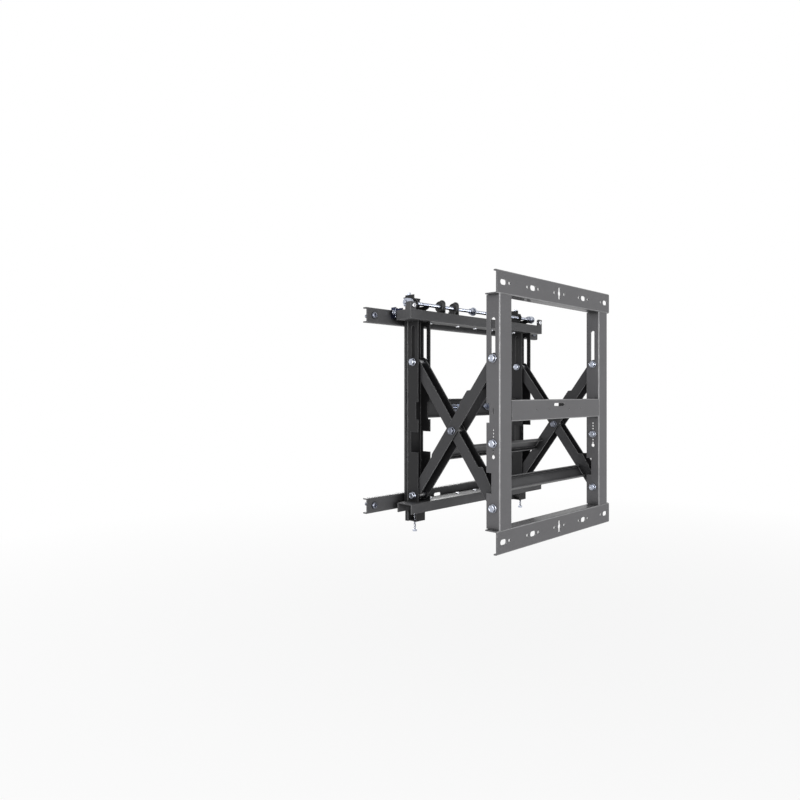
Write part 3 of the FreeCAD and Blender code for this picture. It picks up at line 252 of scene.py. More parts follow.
def noise(nodes, links, scale, detail=2.0):
    """Noise in the object's own space, with its scale in features per metre."""
    place = nodes.new("ShaderNodeTexCoord")
    grain = nodes.new("ShaderNodeTexNoise")
    grain.inputs["Scale"].default_value = scale
    grain.inputs["Detail"].default_value = detail
    links.new(place.outputs["Object"], grain.inputs["Vector"])
    return grain.outputs["Fac"]


def between(nodes, links, factor, low, high):
    """A number that follows the factor from low to high."""
    spread = nodes.new("ShaderNodeMapRange")
    spread.inputs["To Min"].default_value = low
    spread.inputs["To Max"].default_value = high
    links.new(factor, spread.inputs["Value"])
    return spread.outputs["Result"]


def blend_colours(nodes, links, factor, first, second):
    """A colour between two; either may be a fixed colour or another node's output."""
    mix = nodes.new("ShaderNodeMix")
    mix.data_type = "RGBA"
    links.new(factor, mix.inputs["Factor"])
    for socket, colour in ((mix.inputs["A"], first), (mix.inputs["B"], second)):
        if isinstance(colour, tuple):
            socket.default_value = (*colour, 1)
        else:
            links.new(colour, socket)
    return mix.outputs["Result"]


print("helpers ready: noise, between, blend_colours")

# %% Helpers that find edges and channels
EDGE_START, EDGE_FULL = 0.995, 0.86
DEEP, OPEN = 0.42, 0.88


def edge_factor(nodes, links, radius):
    """How much a point is on an edge, from 6 to 31 degrees of rounding, and the rounded direction there."""
    rounded = nodes.new("ShaderNodeBevel")
    rounded.samples = 4
    rounded.inputs["Radius"].default_value = radius
    true = nodes.new("ShaderNodeNewGeometry")
    match = nodes.new("ShaderNodeVectorMath")
    match.operation = "DOT_PRODUCT"
    links.new(rounded.outputs["Normal"], match.inputs[0])
    links.new(true.outputs["Normal"], match.inputs[1])
    edge = nodes.new("ShaderNodeMapRange")
    edge.inputs["From Min"].default_value = EDGE_START
    edge.inputs["From Max"].default_value = EDGE_FULL
    links.new(match.outputs["Value"], edge.inputs["Value"])
    return edge.outputs["Result"], rounded.outputs["Normal"]


def openness(nodes, links, reach):
    """1 on open faces, towards 0 deep in channels and corners within reach; the finishes paint shade with it.
    """
    around = nodes.new("ShaderNodeAmbientOcclusion")
    around.samples = 6
    around.inputs["Distance"].default_value = reach
    spread = nodes.new("ShaderNodeMapRange")
    spread.inputs["From Min"].default_value = DEEP
    spread.inputs["From Max"].default_value = OPEN
    links.new(around.outputs["AO"], spread.inputs["Value"])
    return spread.outputs["Result"]


print("helpers ready: edge_factor, openness")

# %% Helper that finds bends
FLAT, BENT = 0.985, 0.72


def bend_factor(nodes, links, slanted, shine):
    """Up to shine on the rounded bends of a sheet, 0 on its flat faces: where a painted highlight goes. A
    slanted sheet leans about X.
    """
    place = nodes.new("ShaderNodeTexCoord")
    squares = nodes.new("ShaderNodeVectorMath")
    squares.operation = "MULTIPLY"
    links.new(place.outputs["Normal"], squares.inputs[0])
    links.new(place.outputs["Normal"], squares.inputs[1])
    parts = nodes.new("ShaderNodeSeparateXYZ")
    links.new(squares.outputs["Vector"], parts.inputs[0])
    web = combine(nodes, links, "ADD" if slanted else "MAXIMUM", parts.outputs["Y"], parts.outputs["Z"])
    flat = combine(nodes, links, "MAXIMUM", parts.outputs["X"], web)
    spread = nodes.new("ShaderNodeMapRange")
    spread.inputs["From Min"].default_value = FLAT
    spread.inputs["From Max"].default_value = BENT
    spread.inputs["To Max"].default_value = shine
    links.new(flat, spread.inputs["Value"])
    return spread.outputs["Result"]


print("a bend starts where a face leans more than", round(degrees(acos(FLAT ** 0.5))), "degrees")

# %% Powder coat finish
# The colour deep in channels and corners: painted shade.
CHANNEL_SHADE = (0.006, 0.006, 0.0065)
CHANNEL_REACH = 32
COAT_EDGE = 1.1
DRIFT, PATCHES, GRAIN = 14, 60, 1500
# How much of the lighter edge and bend colour shows, patch by patch: partly wear, partly painted highlight.
LEAST_WORN, MOST_WORN = 0.25, 0.95
COAT_SMOOTH, COAT_ROUGH = 0.40, 0.58
PEEL = 0.14


def powder_coat(name, dark, pale, rub_and_highlight, slanted=False, shine=0.45, gloss=0.30):
    """Powder coat that drifts between two greys, with painted shade in channels, edges lighter by wear and
    painted highlight, and a painted highlight of shine on bends.
    """
    finish, nodes, links, shader = start_finish(name)
    full = blend_colours(nodes, links, noise(nodes, links, DRIFT, 4), dark, pale)
    # Painted shade: deep in channels and corners the colour turns dark.
    base = blend_colours(nodes, links, openness(nodes, links, CHANNEL_REACH * MM), CHANNEL_SHADE, full)
    edge, rounded = edge_factor(nodes, links, COAT_EDGE * MM)
    # Edges lighten partly from wear and partly as a painted highlight; bends lighten as a painted highlight.
    wear_and_highlight = combine(nodes, links, "MAXIMUM", edge, bend_factor(nodes, links, slanted, shine))
    uneven = between(nodes, links, noise(nodes, links, PATCHES, 3), LEAST_WORN, MOST_WORN)
    rubbed = combine(nodes, links, "MULTIPLY", wear_and_highlight, uneven)
    links.new(blend_colours(nodes, links, rubbed, base, rub_and_highlight), shader.inputs["Base Color"])
    grain = noise(nodes, links, GRAIN, 3)
    links.new(between(nodes, links, grain, COAT_SMOOTH, COAT_ROUGH), shader.inputs["Roughness"])
    relief = nodes.new("ShaderNodeBump")
    relief.inputs["Strength"].default_value = 0.5
    relief.inputs["Distance"].default_value = PEEL * MM
    links.new(grain, relief.inputs["Height"])
    links.new(rounded, relief.inputs["Normal"])
    links.new(relief.outputs["Normal"], shader.inputs["Normal"])
    shader.inputs["Specular IOR Level"].default_value = 0.2
    shader.inputs["Coat Weight"].default_value = gloss
    shader.inputs["Coat Roughness"].default_value = 0.10
    print(name, "powder coat, greys", dark[0], "to", pale[0])
    return finish


# In the channels the coat carries painted shade; round the edges it turns lighter, partly wear and partly
# painted highlight.
print("powder coat is thin in channels within", CHANNEL_REACH, "mm and rubbed", COAT_EDGE, "mm round edges")

# %% Coats of the frames, rails, arms and plates
# Each coat's third colour is what its edges and bends turn to: partly rubbed wear, partly painted highlight.
wall_coat = powder_coat("wall_frame_coat", (0.079, 0.078, 0.082), (0.097, 0.096, 0.100), (0.36, 0.36, 0.365),
                        shine=0.95)
# The front frame, front rails, arms and torsion plates get darker copies of the wall frame's coat: painted
# shade, as the light falls off towards the front.
front_coat_shaded = powder_coat("front_frame_coat", (0.054, 0.054, 0.056), (0.072, 0.072, 0.075),
                         (0.26, 0.26, 0.265), shine=0.15, gloss=0.10)
rail_coat_shaded = powder_coat("front_rail_coat", (0.009, 0.009, 0.0095), (0.014, 0.014, 0.015), (0.16, 0.16, 0.165),
                        gloss=0.10)
arm_coat_shaded = powder_coat("arm_coat_shaded", (0.028, 0.028, 0.0295), (0.042, 0.042, 0.0445), (0.34, 0.34, 0.345),
                       slanted=True, gloss=0.12)
plate_coat_shaded = powder_coat("torsion_plate_coat", (0.040, 0.040, 0.042), (0.060, 0.060, 0.063),
                         (0.34, 0.34, 0.345), slanted=True, gloss=0.20)

# %% [markdown]
# ## Zinc plate
#
# The bolts and nuts are plated with zinc and passivated, which leaves a bright, slightly blue metal with
# faint warm clouds. A metallic shader with one roughness would look like chrome. Noise in two sizes, a broad
# one for the clouds and a fine one for the crystals of the plating, takes it back to hardware. Zinc comes in
# more than one passivation: grey on the latch screws and dark blue on the clips. The beam screws get a
# lighter copy of the zinc, as painted light, and the centre pivots and bar screws a darker copy, as painted
# shade. One function makes them all, with a painted highlight on edges and painted shade in hollows as its
# last two values.

# %% Metal finish
# Dark blue that metal takes in its recesses and round the foot of its heads: painted shade.
HOLLOW_SHADE = (0.030, 0.036, 0.075)
HOLLOW_REACH = 9
METAL_EDGE = 0.35
CLOUDS, CRYSTALS = 90, 2200
RELIEF = 0.05


def metal(name, cool, warm, smooth, rough, rim=(0.86, 0.87, 0.90), hollow_shade=HOLLOW_SHADE):
    """Bare or plated metal that drifts between two tints, with a painted highlight on edges and painted shade
    in recesses.
    """
    finish, nodes, links, shader = start_finish(name)
    shader.inputs["Metallic"].default_value = 1
    edge, rounded = edge_factor(nodes, links, METAL_EDGE * MM)
    tinted = blend_colours(nodes, links, noise(nodes, links, CLOUDS, 3), cool, warm)
    # Painted shade in recesses, found by ambient occlusion.
    shaded = blend_colours(nodes, links, openness(nodes, links, HOLLOW_REACH * MM), hollow_shade, tinted)
    # Edges take the rim colour: a painted highlight.
    links.new(blend_colours(nodes, links, edge, shaded, rim), shader.inputs["Base Color"])
    crystals = noise(nodes, links, CRYSTALS, 2)
    links.new(between(nodes, links, crystals, smooth, rough), shader.inputs["Roughness"])
    relief = nodes.new("ShaderNodeBump")
    relief.inputs["Strength"].default_value = 0.12
    relief.inputs["Distance"].default_value = RELIEF * MM
    links.new(crystals, relief.inputs["Height"])
    links.new(rounded, relief.inputs["Normal"])
    links.new(relief.outputs["Normal"], shader.inputs["Normal"])
    print(name, "metal, roughness", smooth, "to", rough)
    return finish


zinc = metal("zinc_plate", (0.36, 0.41, 0.53), (0.52, 0.53, 0.56), 0.20, 0.34)
# A lighter copy of the same zinc for the beam screws: painted light.
lit_zinc_copy = metal("lit_zinc_copy", (0.66, 0.68, 0.72), (0.80, 0.80, 0.82), 0.18, 0.30,
                    hollow_shade=(0.40, 0.41, 0.45))
# A darker copy of the same zinc for the centre pivots and bar screws: painted shade.
shaded_zinc_copy = metal("shaded_zinc_copy", (0.13, 0.14, 0.18), (0.22, 0.23, 0.26), 0.26, 0.42, rim=(0.55, 0.56, 0.60))
blue_zinc = metal("blue_zinc", (0.030, 0.036, 0.070), (0.050, 0.057, 0.095), 0.18, 0.30,
                  rim=(0.66, 0.70, 0.80))
grey_zinc = metal("grey_zinc", (0.125, 0.125, 0.130), (0.155, 0.155, 0.158), 0.40, 0.55,
                  rim=(0.20, 0.20, 0.21), hollow_shade=(0.070, 0.070, 0.074))
drawn_steel = metal("drawn_steel", (0.42, 0.43, 0.45), (0.50, 0.49, 0.47), 0.32, 0.48)

# %% [markdown]
# ## Nylon and moulded plastic
#
# Bushes, wheels and latches are plastic. A mould is spark-eroded, which leaves a faint grain on what comes
# out of it, and handling polishes the edges, which the edge helper paints lighter: partly that wear and
# partly a painted highlight. Painted texture could show both, but noise and the edge helper do so without any
# picture.

# %% Plastic finish
PLASTIC_EDGE = 0.5
MOTTLE, SPARKS = 40, 1800


def plastic(name, dark, pale, rub_and_highlight, smooth, rough):
    """Moulded plastic with a faint sparked grain, and edges lighter by partly rubbed wear and partly painted
    highlight.
    """
    finish, nodes, links, shader = start_finish(name)
    base = blend_colours(nodes, links, noise(nodes, links, MOTTLE, 3), dark, pale)
    edge, rounded = edge_factor(nodes, links, PLASTIC_EDGE * MM)
    # Edges turn to the rub colour: partly rubbed wear, partly painted highlight.
    links.new(blend_colours(nodes, links, edge, base, rub_and_highlight), shader.inputs["Base Color"])
    grain = noise(nodes, links, SPARKS, 2)
    links.new(between(nodes, links, grain, smooth, rough), shader.inputs["Roughness"])
    relief = nodes.new("ShaderNodeBump")
    relief.inputs["Strength"].default_value = 0.2
    relief.inputs["Distance"].default_value = RELIEF * MM
    links.new(grain, relief.inputs["Height"])
    links.new(rounded, relief.inputs["Normal"])
    links.new(relief.outputs["Normal"], shader.inputs["Normal"])
    print(name, "plastic, roughness", smooth, "to", rough)
    return finish


nylon = plastic("black_nylon", (0.020, 0.020, 0.021), (0.030, 0.030, 0.031), (0.06, 0.06, 0.06), 0.38, 0.50)
wheel_black = plastic("wheel_black", (0.010, 0.010, 0.011), (0.018, 0.018, 0.019), (0.07, 0.07, 0.07),
                      0.34, 0.50)
latch_black = plastic("latch_black", (0.026, 0.026, 0.028), (0.038, 0.038, 0.040), (0.09, 0.09, 0.09),
                      0.42, 0.56)

# %% [markdown]
# ## Dress the sheet parts
#
# The folded parts already have their real shape in the imported model, so they keep it, and only the material
# slot changes. They all wear one coat, but the wall frame stands in full light and the light falls off
# towards the front. So the front frame and the plates between the arms get darker copies of the coat, the
# arms darker ones still, and the front rails the darkest: painted shade, not coats that differ.

# %% Give every node its finish
FINISH_OF_SLOT = {"powder_coat": wall_coat, "zinc_plate": zinc, "sleeve_steel": drawn_steel,
                  "bush_nylon": nylon, "wheel_black": wheel_black, "latch_plastic": latch_black}
# The front frame, carriage, bars and arms take darker copies of the coat: painted shade.
COAT_OF_BODY = {"front_frame": front_coat_shaded, "carriage": front_coat_shaded, "bar_frame": front_coat_shaded,
                "inner_arms": arm_coat_shaded, "outer_arms": arm_coat_shaded}
slot_of_node = {part["node"]: part["material_slot"] for part in frame["record"]["subparts"]}
for node, cad in frame["nodes"].items():
    finish = FINISH_OF_SLOT[slot_of_node[node]]
    if finish is wall_coat:
        finish = COAT_OF_BODY.get(cad["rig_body"], wall_coat)
    # Front rails and hook brackets take the darkest copy, torsion plates a darker one: painted shade.
    if node.startswith(("front_rail", "hook_bracket")):
        finish = rail_coat_shaded
    if node.endswith("torsion_plate"):
        finish = plate_coat_shaded
    if node == "side_lock_clips":
        finish = blue_zinc
    for part_slot in cad.material_slots:
        part_slot.material = finish
print("dressed", len(frame["nodes"]), "nodes")

# %% [markdown]
# ## Find each bolt in a group
#
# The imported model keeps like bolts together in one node, so one node can hold four separate solids. Their
# places could be typed in by hand, but reading them from the mesh is safer. The copy is welded first, because
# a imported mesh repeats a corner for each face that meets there. Then a walk from corner to corner along the
# edges collects one solid at a time.

# %% Boxes of the separate solids
SAME_CORNER = 0.002


def welded_copy(node):
    """A copy of a node's mesh to measure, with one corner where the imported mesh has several."""
    copy = bmesh.new()
    copy.from_mesh(frame["nodes"][node].data)
    bmesh.ops.remove_doubles(copy, verts=copy.verts, dist=SAME_CORNER * MM)
    return copy


def solids(node):
    """Lowest and highest corner of each separate solid in a node, in metres, from left to right."""
    copy = welded_copy(node)
    unseen = set(copy.verts)
    boxes = []
    while unseen:
        waiting = [unseen.pop()]
        island = []
        while waiting:
            corner = waiting.pop()
            island.append(corner.co.copy())
            for edge in corner.link_edges:
                other = edge.other_vert(corner)
                if other in unseen:
                    unseen.remove(other)
                    waiting.append(other)
        boxes.append((Vector([min(co[n] for co in island) for n in range(3)]),
                      Vector([max(co[n] for co in island) for n in range(3)])))
    copy.free()
    return sorted(boxes, key=lambda box: tuple(box[0]))


print("solids in wall_bolts", len(solids("wall_bolts")), "in beam_screws", len(solids("beam_screws")))

# %% [markdown]
# ## Turned and headed parts from rings
#
# Bolts, nuts, wheels and pins are all round or six-sided about one axis. The Spin or Screw tools make round
# bodies, but not a round flange that carries a six-sided head. So each part here is a stack of rings: every
# ring has a height and a radius, and either may change with the angle. A fixed radius gives a circle, and
# the distance to the side of a hexagon gives a hexagon. Rings may also turn back inward, which makes a
# socket.

# %% Outlines and chamfers
CHAMFER = tan(radians(30))


def hexagon(across):
    """Distance from the axis to the outline of a hexagon, by angle."""
    return lambda angle: across / 2 / cos(angle % radians(60) - radians(30))


def below_chamfer(height, across, land):
    """Height at which a 30 degree chamfer, which starts at the radius land, meets the hexagon's sides."""
    side = hexagon(across)
    return lambda angle: height - max(0, side(angle) - land) * CHAMFER


def above_chamfer(height, across, land):
    """The same for a chamfer on the underside, which starts at that height."""
    side = hexagon(across)
    return lambda angle: height + max(0, side(angle) - land) * CHAMFER


def cross(length, width):
    """Outline of a cross recess, by angle: four arms of that length and width."""
    def outline(angle):
        off = abs((angle + radians(45)) % radians(90) - radians(45))
        return min(length / 2 / cos(off), width / 2 / max(sin(off), 0.001))
    return outline


print("corner of a 13 mm hexagon at", round(hexagon(13)(0), 2), "mm")

# %% Stack rings into a closed body
SIDES = 48


def at_angle(value, angle):
    """A ring's height or radius at an angle, whether it is fixed or not."""
    return value(angle) if callable(value) else value


def turned(stock, place, rings, sides=SIDES, through=False):
    """Adds one closed body of rings to the mesh in work. Heights and radii are in mm along place's own Z."""
    loops = []
    for height, radius in rings:
        loop = []
        for n in range(sides):
            angle = 2 * pi * n / sides
            reach = at_angle(radius, angle)
            point = Vector((reach * cos(angle), reach * sin(angle), at_angle(height, angle)))
            loop.append(stock.verts.new(place @ (point * MM)))
        loops.append(loop)
    pairs = list(zip(loops, loops[1:]))
    if through:
        pairs.append((loops[-1], loops[0]))
    else:
        stock.faces.new(list(reversed(loops[0])))
        stock.faces.new(loops[-1])
    for low, high in pairs:
        for n in range(sides):
            stock.faces.new((low[n - 1], low[n], high[n], high[n - 1]))


def facing(point, direction):
    """Matrix that puts a part's foot at a point in metres and its own Z along a direction."""
    turn = Vector(direction).to_track_quat("Z", "Y")
    return Matrix.Translation(point) @ turn.to_matrix().to_4x4()


print("a round body has", SIDES, "sides")

# %% Turn a mesh in work into a piece
def closed_mesh(stock, name):
    """Turns the mesh in work into a mesh whose faces all look outward, and frees it."""
    bmesh.ops.recalc_face_normals(stock, faces=stock.faces)
    mesh = bpy.data.meshes.new(name)
    stock.to_mesh(mesh)
    stock.free()
    return mesh


def riding(mesh, finish, body):
    """An object for a mesh, with its finish, that rides on a body."""
    mesh.materials.append(finish)
    piece = bpy.data.objects.new(mesh.name, mesh)
    bpy.context.scene.collection.objects.link(piece)
    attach(piece, body)
    return piece


def finished_piece(stock, name, finish, node, sharp=32):
    """Turns the mesh in work into an object that stands for a node."""
    mesh = closed_mesh(stock, name)
    mesh.shade_smooth()
    mesh.set_sharp_from_angle(angle=radians(sharp))
    piece = riding(mesh, finish, frame["nodes"][node]["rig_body"])
    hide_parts(node)
    print(name, "faces", len(mesh.polygons))
    return piece


print("slots in the record", sorted(set(slot_of_node.values())))

# %% [markdown]
# ## Screw thread
#
# A thread is one ridge that winds up the bar. Plain grooves would look almost the same, but close to the end
# of a bolt the eye catches that they never climb. Here ring after ring is laid as for any turned part, crest
# and root in turn, with each ring tilted so that it climbs one pitch per turn. The seam then joins a ring not
# to itself but to the one two places on. A level ring at each end closes it.

# %% Thread helper
THREAD_DEPTH = 0.61
FINE_SIDES = 24


def circle_row(stock, place, radius, height, sides):
    """Corners of one level ring in mm along place's own Z."""
    row = []
    for n in range(sides):
        angle = 2 * pi * n / sides
        row.append(stock.verts.new(place @ (Vector((radius * cos(angle), radius * sin(angle), height)) * MM)))
    return row


def threaded(stock, place, start, end, crest, pitch, sides=FINE_SIDES):
    """Adds a closed threaded bar from start to end, heights in mm."""
    root = crest - THREAD_DEPTH * pitch
    turns = int((end - start - 0.4) / pitch) - 1
    foot = start + (end - start - (turns + 1) * pitch) / 2
    rows = []
    for step in range(2 * turns + 1):
        row = []
        for n in range(sides):
            angle = 2 * pi * n / sides
            reach = root if step % 2 == 0 else crest
            height = foot + (step / 2 + n / sides) * pitch
            point = Vector((reach * cos(angle), reach * sin(angle), height))
            row.append(stock.verts.new(place @ (point * MM)))
        rows.append(row)
    bottom = circle_row(stock, place, root, start, sides)
    top = circle_row(stock, place, root, end, sides)
    for low, high in zip(rows, rows[1:]):
        for n in range(1, sides):
            stock.faces.new((low[n - 1], low[n], high[n], high[n - 1]))
    for step in range(2 * turns - 2):
        stock.faces.new((rows[step][-1], rows[step + 2][0], rows[step + 3][0], rows[step + 1][-1]))
    for n in range(1, sides):
        stock.faces.new((bottom[n - 1], bottom[n], rows[0][n], rows[0][n - 1]))
        stock.faces.new((rows[-1][n - 1], rows[-1][n], top[n], top[n - 1]))
    stock.faces.new((bottom[-1], bottom[0], rows[0][0], rows[1][0], rows[2][0], rows[0][-1]))
    stock.faces.new((rows[-1][-1], rows[-2][-1], rows[-3][-1], rows[-1][0], top[0], top[-1]))
    stock.faces.new(list(reversed(bottom)))
    stock.faces.new(top)


print("a thread's root lies", THREAD_DEPTH, "of its pitch under the crest")

# %% [markdown]
# ## Flanged bolts and lock nuts
#
# The scissors pivot on flanged hexagon bolts, closed by lock nuts that can't shake loose: a lock nut has a
# domed collar with a ring of nylon that grips the thread. A Bevel modifier on a cylinder would round all
# edges alike, but a real head is flat on top inside a circle, has its six corners cut at 30 degrees, and
# flares out into its flange. As rings, each of these is one line.

# %% Rings of a flanged head and of a lock nut
HEX = 13
FLANGE_RADIUS = 8.2
BOLT_RADIUS = 4
BORE = 4.05
HEAD_HEIGHT = 6.6
HEAD_RINGS = [(0, BOLT_RADIUS), (0, 7.9), (0.3, FLANGE_RADIUS), (1.0, FLANGE_RADIUS), (1.6, 7.55),
              (1.6, hexagon(HEX)), (below_chamfer(HEAD_HEIGHT, HEX, 6.1), hexagon(HEX)), (HEAD_HEIGHT, 6.1),
              (HEAD_HEIGHT, 4.6), (6.15, 4.0), (6.15, 0.8)]
NUT_RINGS = [(0, 4.4), (0, 7.9), (0.3, FLANGE_RADIUS), (1.0, FLANGE_RADIUS), (1.6, 7.55), (1.6, hexagon(HEX)),
             (below_chamfer(4.9, HEX, 6.1), hexagon(HEX)), (4.9, 6.0), (5.2, 5.75), (6.0, 5.6), (6.4, 5.2),
             (6.5, 4.9), (6.5, 4.5), (6.2, 4.3), (6.0, BORE), (0.4, BORE)]
print("head of", HEAD_HEIGHT, "mm in", len(HEAD_RINGS), "rings, lock nut in", len(NUT_RINGS))

# %% Bolts and nuts of the scissors
PITCH = 1.25
THREAD_LENGTH = 13


def flange_bolts(node, finish):
    """Flanged bolts for every solid of a node. The heads look towards +X."""
    stock = bmesh.new()
    for low, high in solids(node):
        middle = (low + high) / 2
        length = (high.x - low.x) / MM - HEAD_HEIGHT
        seat = (high.x - HEAD_HEIGHT * MM, middle.y, middle.z)
        shank = facing(seat, (-1, 0, 0))
        plain = length - THREAD_LENGTH
        turned(stock, facing(seat, (1, 0, 0)), HEAD_RINGS)
        turned(stock, shank, [(-0.2, BOLT_RADIUS), (plain, BOLT_RADIUS), (plain + 0.4, 3.3)])
        threaded(stock, shank, plain, length - 0.7, BOLT_RADIUS, PITCH)
        turned(stock, shank, [(length - 1.2, 3.25), (length - 0.6, 3.25), (length, 2.75)], FINE_SIDES)
    finished_piece(stock, node + "_headed", finish, node)


def lock_nuts(node):
    """Lock nuts for every solid of a node. Their flanges look towards +X."""
    stock = bmesh.new()
    for low, high in solids(node):
        middle = (low + high) / 2
        turned(stock, facing((high.x, middle.y, middle.z), (-1, 0, 0)), NUT_RINGS, through=True)
    finished_piece(stock, node + "_locking", zinc, node)


# The centre bolts take a darker copy of the zinc: painted shade.
for pivot in ("wall", "front_pivot", "wall_slide", "front_slide", "centre"):
    flange_bolts(pivot + "_bolts", shaded_zinc_copy if pivot == "centre" else zinc)
    lock_nuts(pivot + "_nuts")

# %% [markdown]
# ## Screws with a cross recess
#
# The beams, the latches and the bars are held by pan head screws. A cross recess could be cut with a Boolean
# modifier. A ring can also follow the outline of the cross, though: the pan's last ring is a circle, the next
# one at the same height is the cross, and one more, smaller and deeper, gives the recess its sloping walls.

# %% Pan head screws
def pan_head(radius, height, recess):
    """Rings of a pan head with a cross recess, from its bearing face up."""
    return [(0, radius * 0.55), (0, radius * 0.97), (0.12 * height, radius), (0.45 * height, radius * 0.985),
            (0.72 * height, radius * 0.93), (0.90 * height, radius * 0.82), (0.98 * height, radius * 0.68),
            (height, radius * 0.60), (height, cross(recess, recess * 0.27)),
            (height * 0.35, cross(recess * 0.62, recess * 0.2)), (height * 0.22, recess * 0.09)]


def pan_screws(node, outward, head_height, crest, pitch, finish):
    """Pan head screws for every solid of a node; outward gives the way that a screw's head looks."""
    stock = bmesh.new()
    for low, high in solids(node):
        axis = Vector(outward((low + high) / 2))
        along = abs((high - low).dot(axis)) / MM
        head_radius = max((high - low) - axis * (high - low).dot(axis)) / 2 / MM
        seat = (low + high) / 2 + axis * (along / 2 - head_height) * MM
        tail = along - head_height
        turned(stock, facing(seat, axis), pan_head(head_radius, head_height, head_radius * 1.15), 64)
        threaded(stock, facing(seat, -axis), -0.3, tail - 0.4, crest, pitch)
        turned(stock, facing(seat, -axis), [(tail - 0.9, crest - 0.65 * pitch), (tail, crest - pitch)],
               FINE_SIDES)
    finished_piece(stock, node + "_pan", finish, node, sharp=40)


def beam_side(middle):
    """Screws of the top beam look down, those of the bottom beam up, and the end caps' to the wall."""
    if middle.y > -0.22:
        return (0, 1, 0)
    return (0, 0, -1) if middle.z > 0 else (0, 0, 1)


# Beam screws take a lighter copy of the zinc, painted light; bar screws a darker one, painted shade.
pan_screws("beam_screws", beam_side, 3, 3, 1, lit_zinc_copy)
pan_screws("latch_screws", lambda middle: (0, -1, 0), 2.2, 2, 0.8, grey_zinc)
pan_screws("carrier_screws", lambda middle: (0, 1, 0), 4.5, BOLT_RADIUS, PITCH, shaded_zinc_copy)

# %% [markdown]
# ## Adjusting screws
#
# Six small hexagon screws are there to be turned: two raise the bars, two lock them, and two lock them
# sideways. Their heads stand clear, so that a spanner reaches them, and each has a chamfer above and below. A
# nine millimetre hexagon is made a touch under size, so that a spanner fits, and here that also lets the side
# screws pass the beam. Only height and turn differ, so one function makes all three pairs.

# %% Height screws and lock screws
SMALL_HEX = 8.8
SMALL_LAND = SMALL_HEX / 2 * 0.95
SOCKET = hexagon(4)


def adjusting_screw(node, outward, head_height, turn=0):
    """Hexagon screw with a socket in its head, which looks along outward, turned by some degrees about it."""
    low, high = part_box(node)
    axis = Vector(outward)
    along = abs((high - low).dot(axis)) / MM
    seat = (low + high) / 2 + axis * (along / 2 - head_height) * MM
    tail = along - head_height
    head = facing(seat, axis) @ Matrix.Rotation(radians(turn), 4, "Z")
    stock = bmesh.new()
    turned(stock, head, [
        (0, 2.4), (0, SMALL_LAND), (above_chamfer(0, SMALL_HEX, SMALL_LAND), hexagon(SMALL_HEX)),
        (below_chamfer(head_height, SMALL_HEX, SMALL_LAND), hexagon(SMALL_HEX)), (head_height, SMALL_LAND),
        (head_height, 2.6), (head_height - 0.25, SOCKET), (head_height - 2.4, SOCKET),
        (head_height - 3.2, 0.4)])
    threaded(stock, facing(seat, -axis), -0.3, tail - 0.7, crest=2.5, pitch=0.8)
    turned(stock, facing(seat, -axis), [(tail - 1.2, 2.0), (tail - 0.5, 2.0), (tail, 1.6)], FINE_SIDES)
    finished_piece(stock, node + "_hexagon", zinc, node)


for side, sign in (("left", -1), ("right", 1)):
    adjusting_screw("height_screw_" + side, (0, 0, 1), 11)
    adjusting_screw("lock_screw_" + side, (0, 0, -1), 5)
    adjusting_screw("side_lock_screw_" + side, (sign, 0, 0), 5, turn=30)

# %% [markdown]
# ## The long rod and its nuts
#
# The hook brackets hang from one threaded rod, and the two black wheels shift it sideways. Along almost half
# a metre the thread is what makes the rod look like a rod, not like a pipe, so it runs the whole length. At
# each end a big nut with a collar holds the bracket, and near the middle a thin disc marks the centre.

# %% The threaded rod
ROD_SIDES = 20
low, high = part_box("hook_rod")
rod_start = Vector((low.x, (low.y + high.y) / 2, (low.z + high.z) / 2))
rod_length = (high.x - low.x) / MM
stock = bmesh.new()
threaded(stock, facing(rod_start, (1, 0, 0)), 0.6, rod_length - 0.6, BOLT_RADIUS, PITCH, ROD_SIDES)
for foot, direction in ((rod_start, (1, 0, 0)), (rod_start + Vector((rod_length * MM, 0, 0)), (-1, 0, 0))):
    turned(stock, facing(foot, direction), [(0, 2.8), (0.5, 3.22), (1.2, 3.22)], ROD_SIDES)
finished_piece(stock, "hook_rod_threaded", zinc, "hook_rod")

# %% End nuts and middle nut
BIG_HEX = 17
BIG_HEX_HEIGHT = 12
NECK_HEIGHT = 9.7
COLLAR_HEIGHT = 3
NECK = [(0, BORE), (0, 5.6), (0.4, 6), (NECK_HEIGHT, 6)]
COLLAR = [(0, 9.1), (0.4, 9.5), (2.6, 9.5), (COLLAR_HEIGHT, 9.1)]


def raised(rings, lift):
    """The same rings further along the axis."""
    return [(lambda angle, foot=height: at_angle(foot, angle) + lift, radius) for height, radius in rings]


CHAMFER_ABOVE = [(0, hexagon(BIG_HEX)), (below_chamfer(BIG_HEX_HEIGHT, BIG_HEX, 8), hexagon(BIG_HEX)),
                 (BIG_HEX_HEIGHT, 8), (BIG_HEX_HEIGHT, 4.6)]
CHAMFER_BELOW = [(0, 8), (above_chamfer(0, BIG_HEX, 8), hexagon(BIG_HEX)), (BIG_HEX_HEIGHT, hexagon(BIG_HEX)),
                 (BIG_HEX_HEIGHT, 8.6)]
NUT_LENGTH = NECK_HEIGHT + BIG_HEX_HEIGHT + COLLAR_HEIGHT
BORE_RIM = [(NUT_LENGTH, 4.6), (NUT_LENGTH - 0.4, BORE)]
MIDDLE_RINGS = [(0, BORE), (0, 9.7), (0.3, 10), (2.7, 10), (3, 9.7), (3, 6.3), (3, hexagon(HEX)),
                (below_chamfer(13, HEX, 6.1), hexagon(HEX)), (13, 6.1), (13, 4.6), (12.6, BORE)]
collar_first = (NECK + raised(COLLAR, NECK_HEIGHT) + [(NECK_HEIGHT + COLLAR_HEIGHT, 8.2)]
                + raised(CHAMFER_ABOVE, NECK_HEIGHT + COLLAR_HEIGHT) + BORE_RIM[1:])
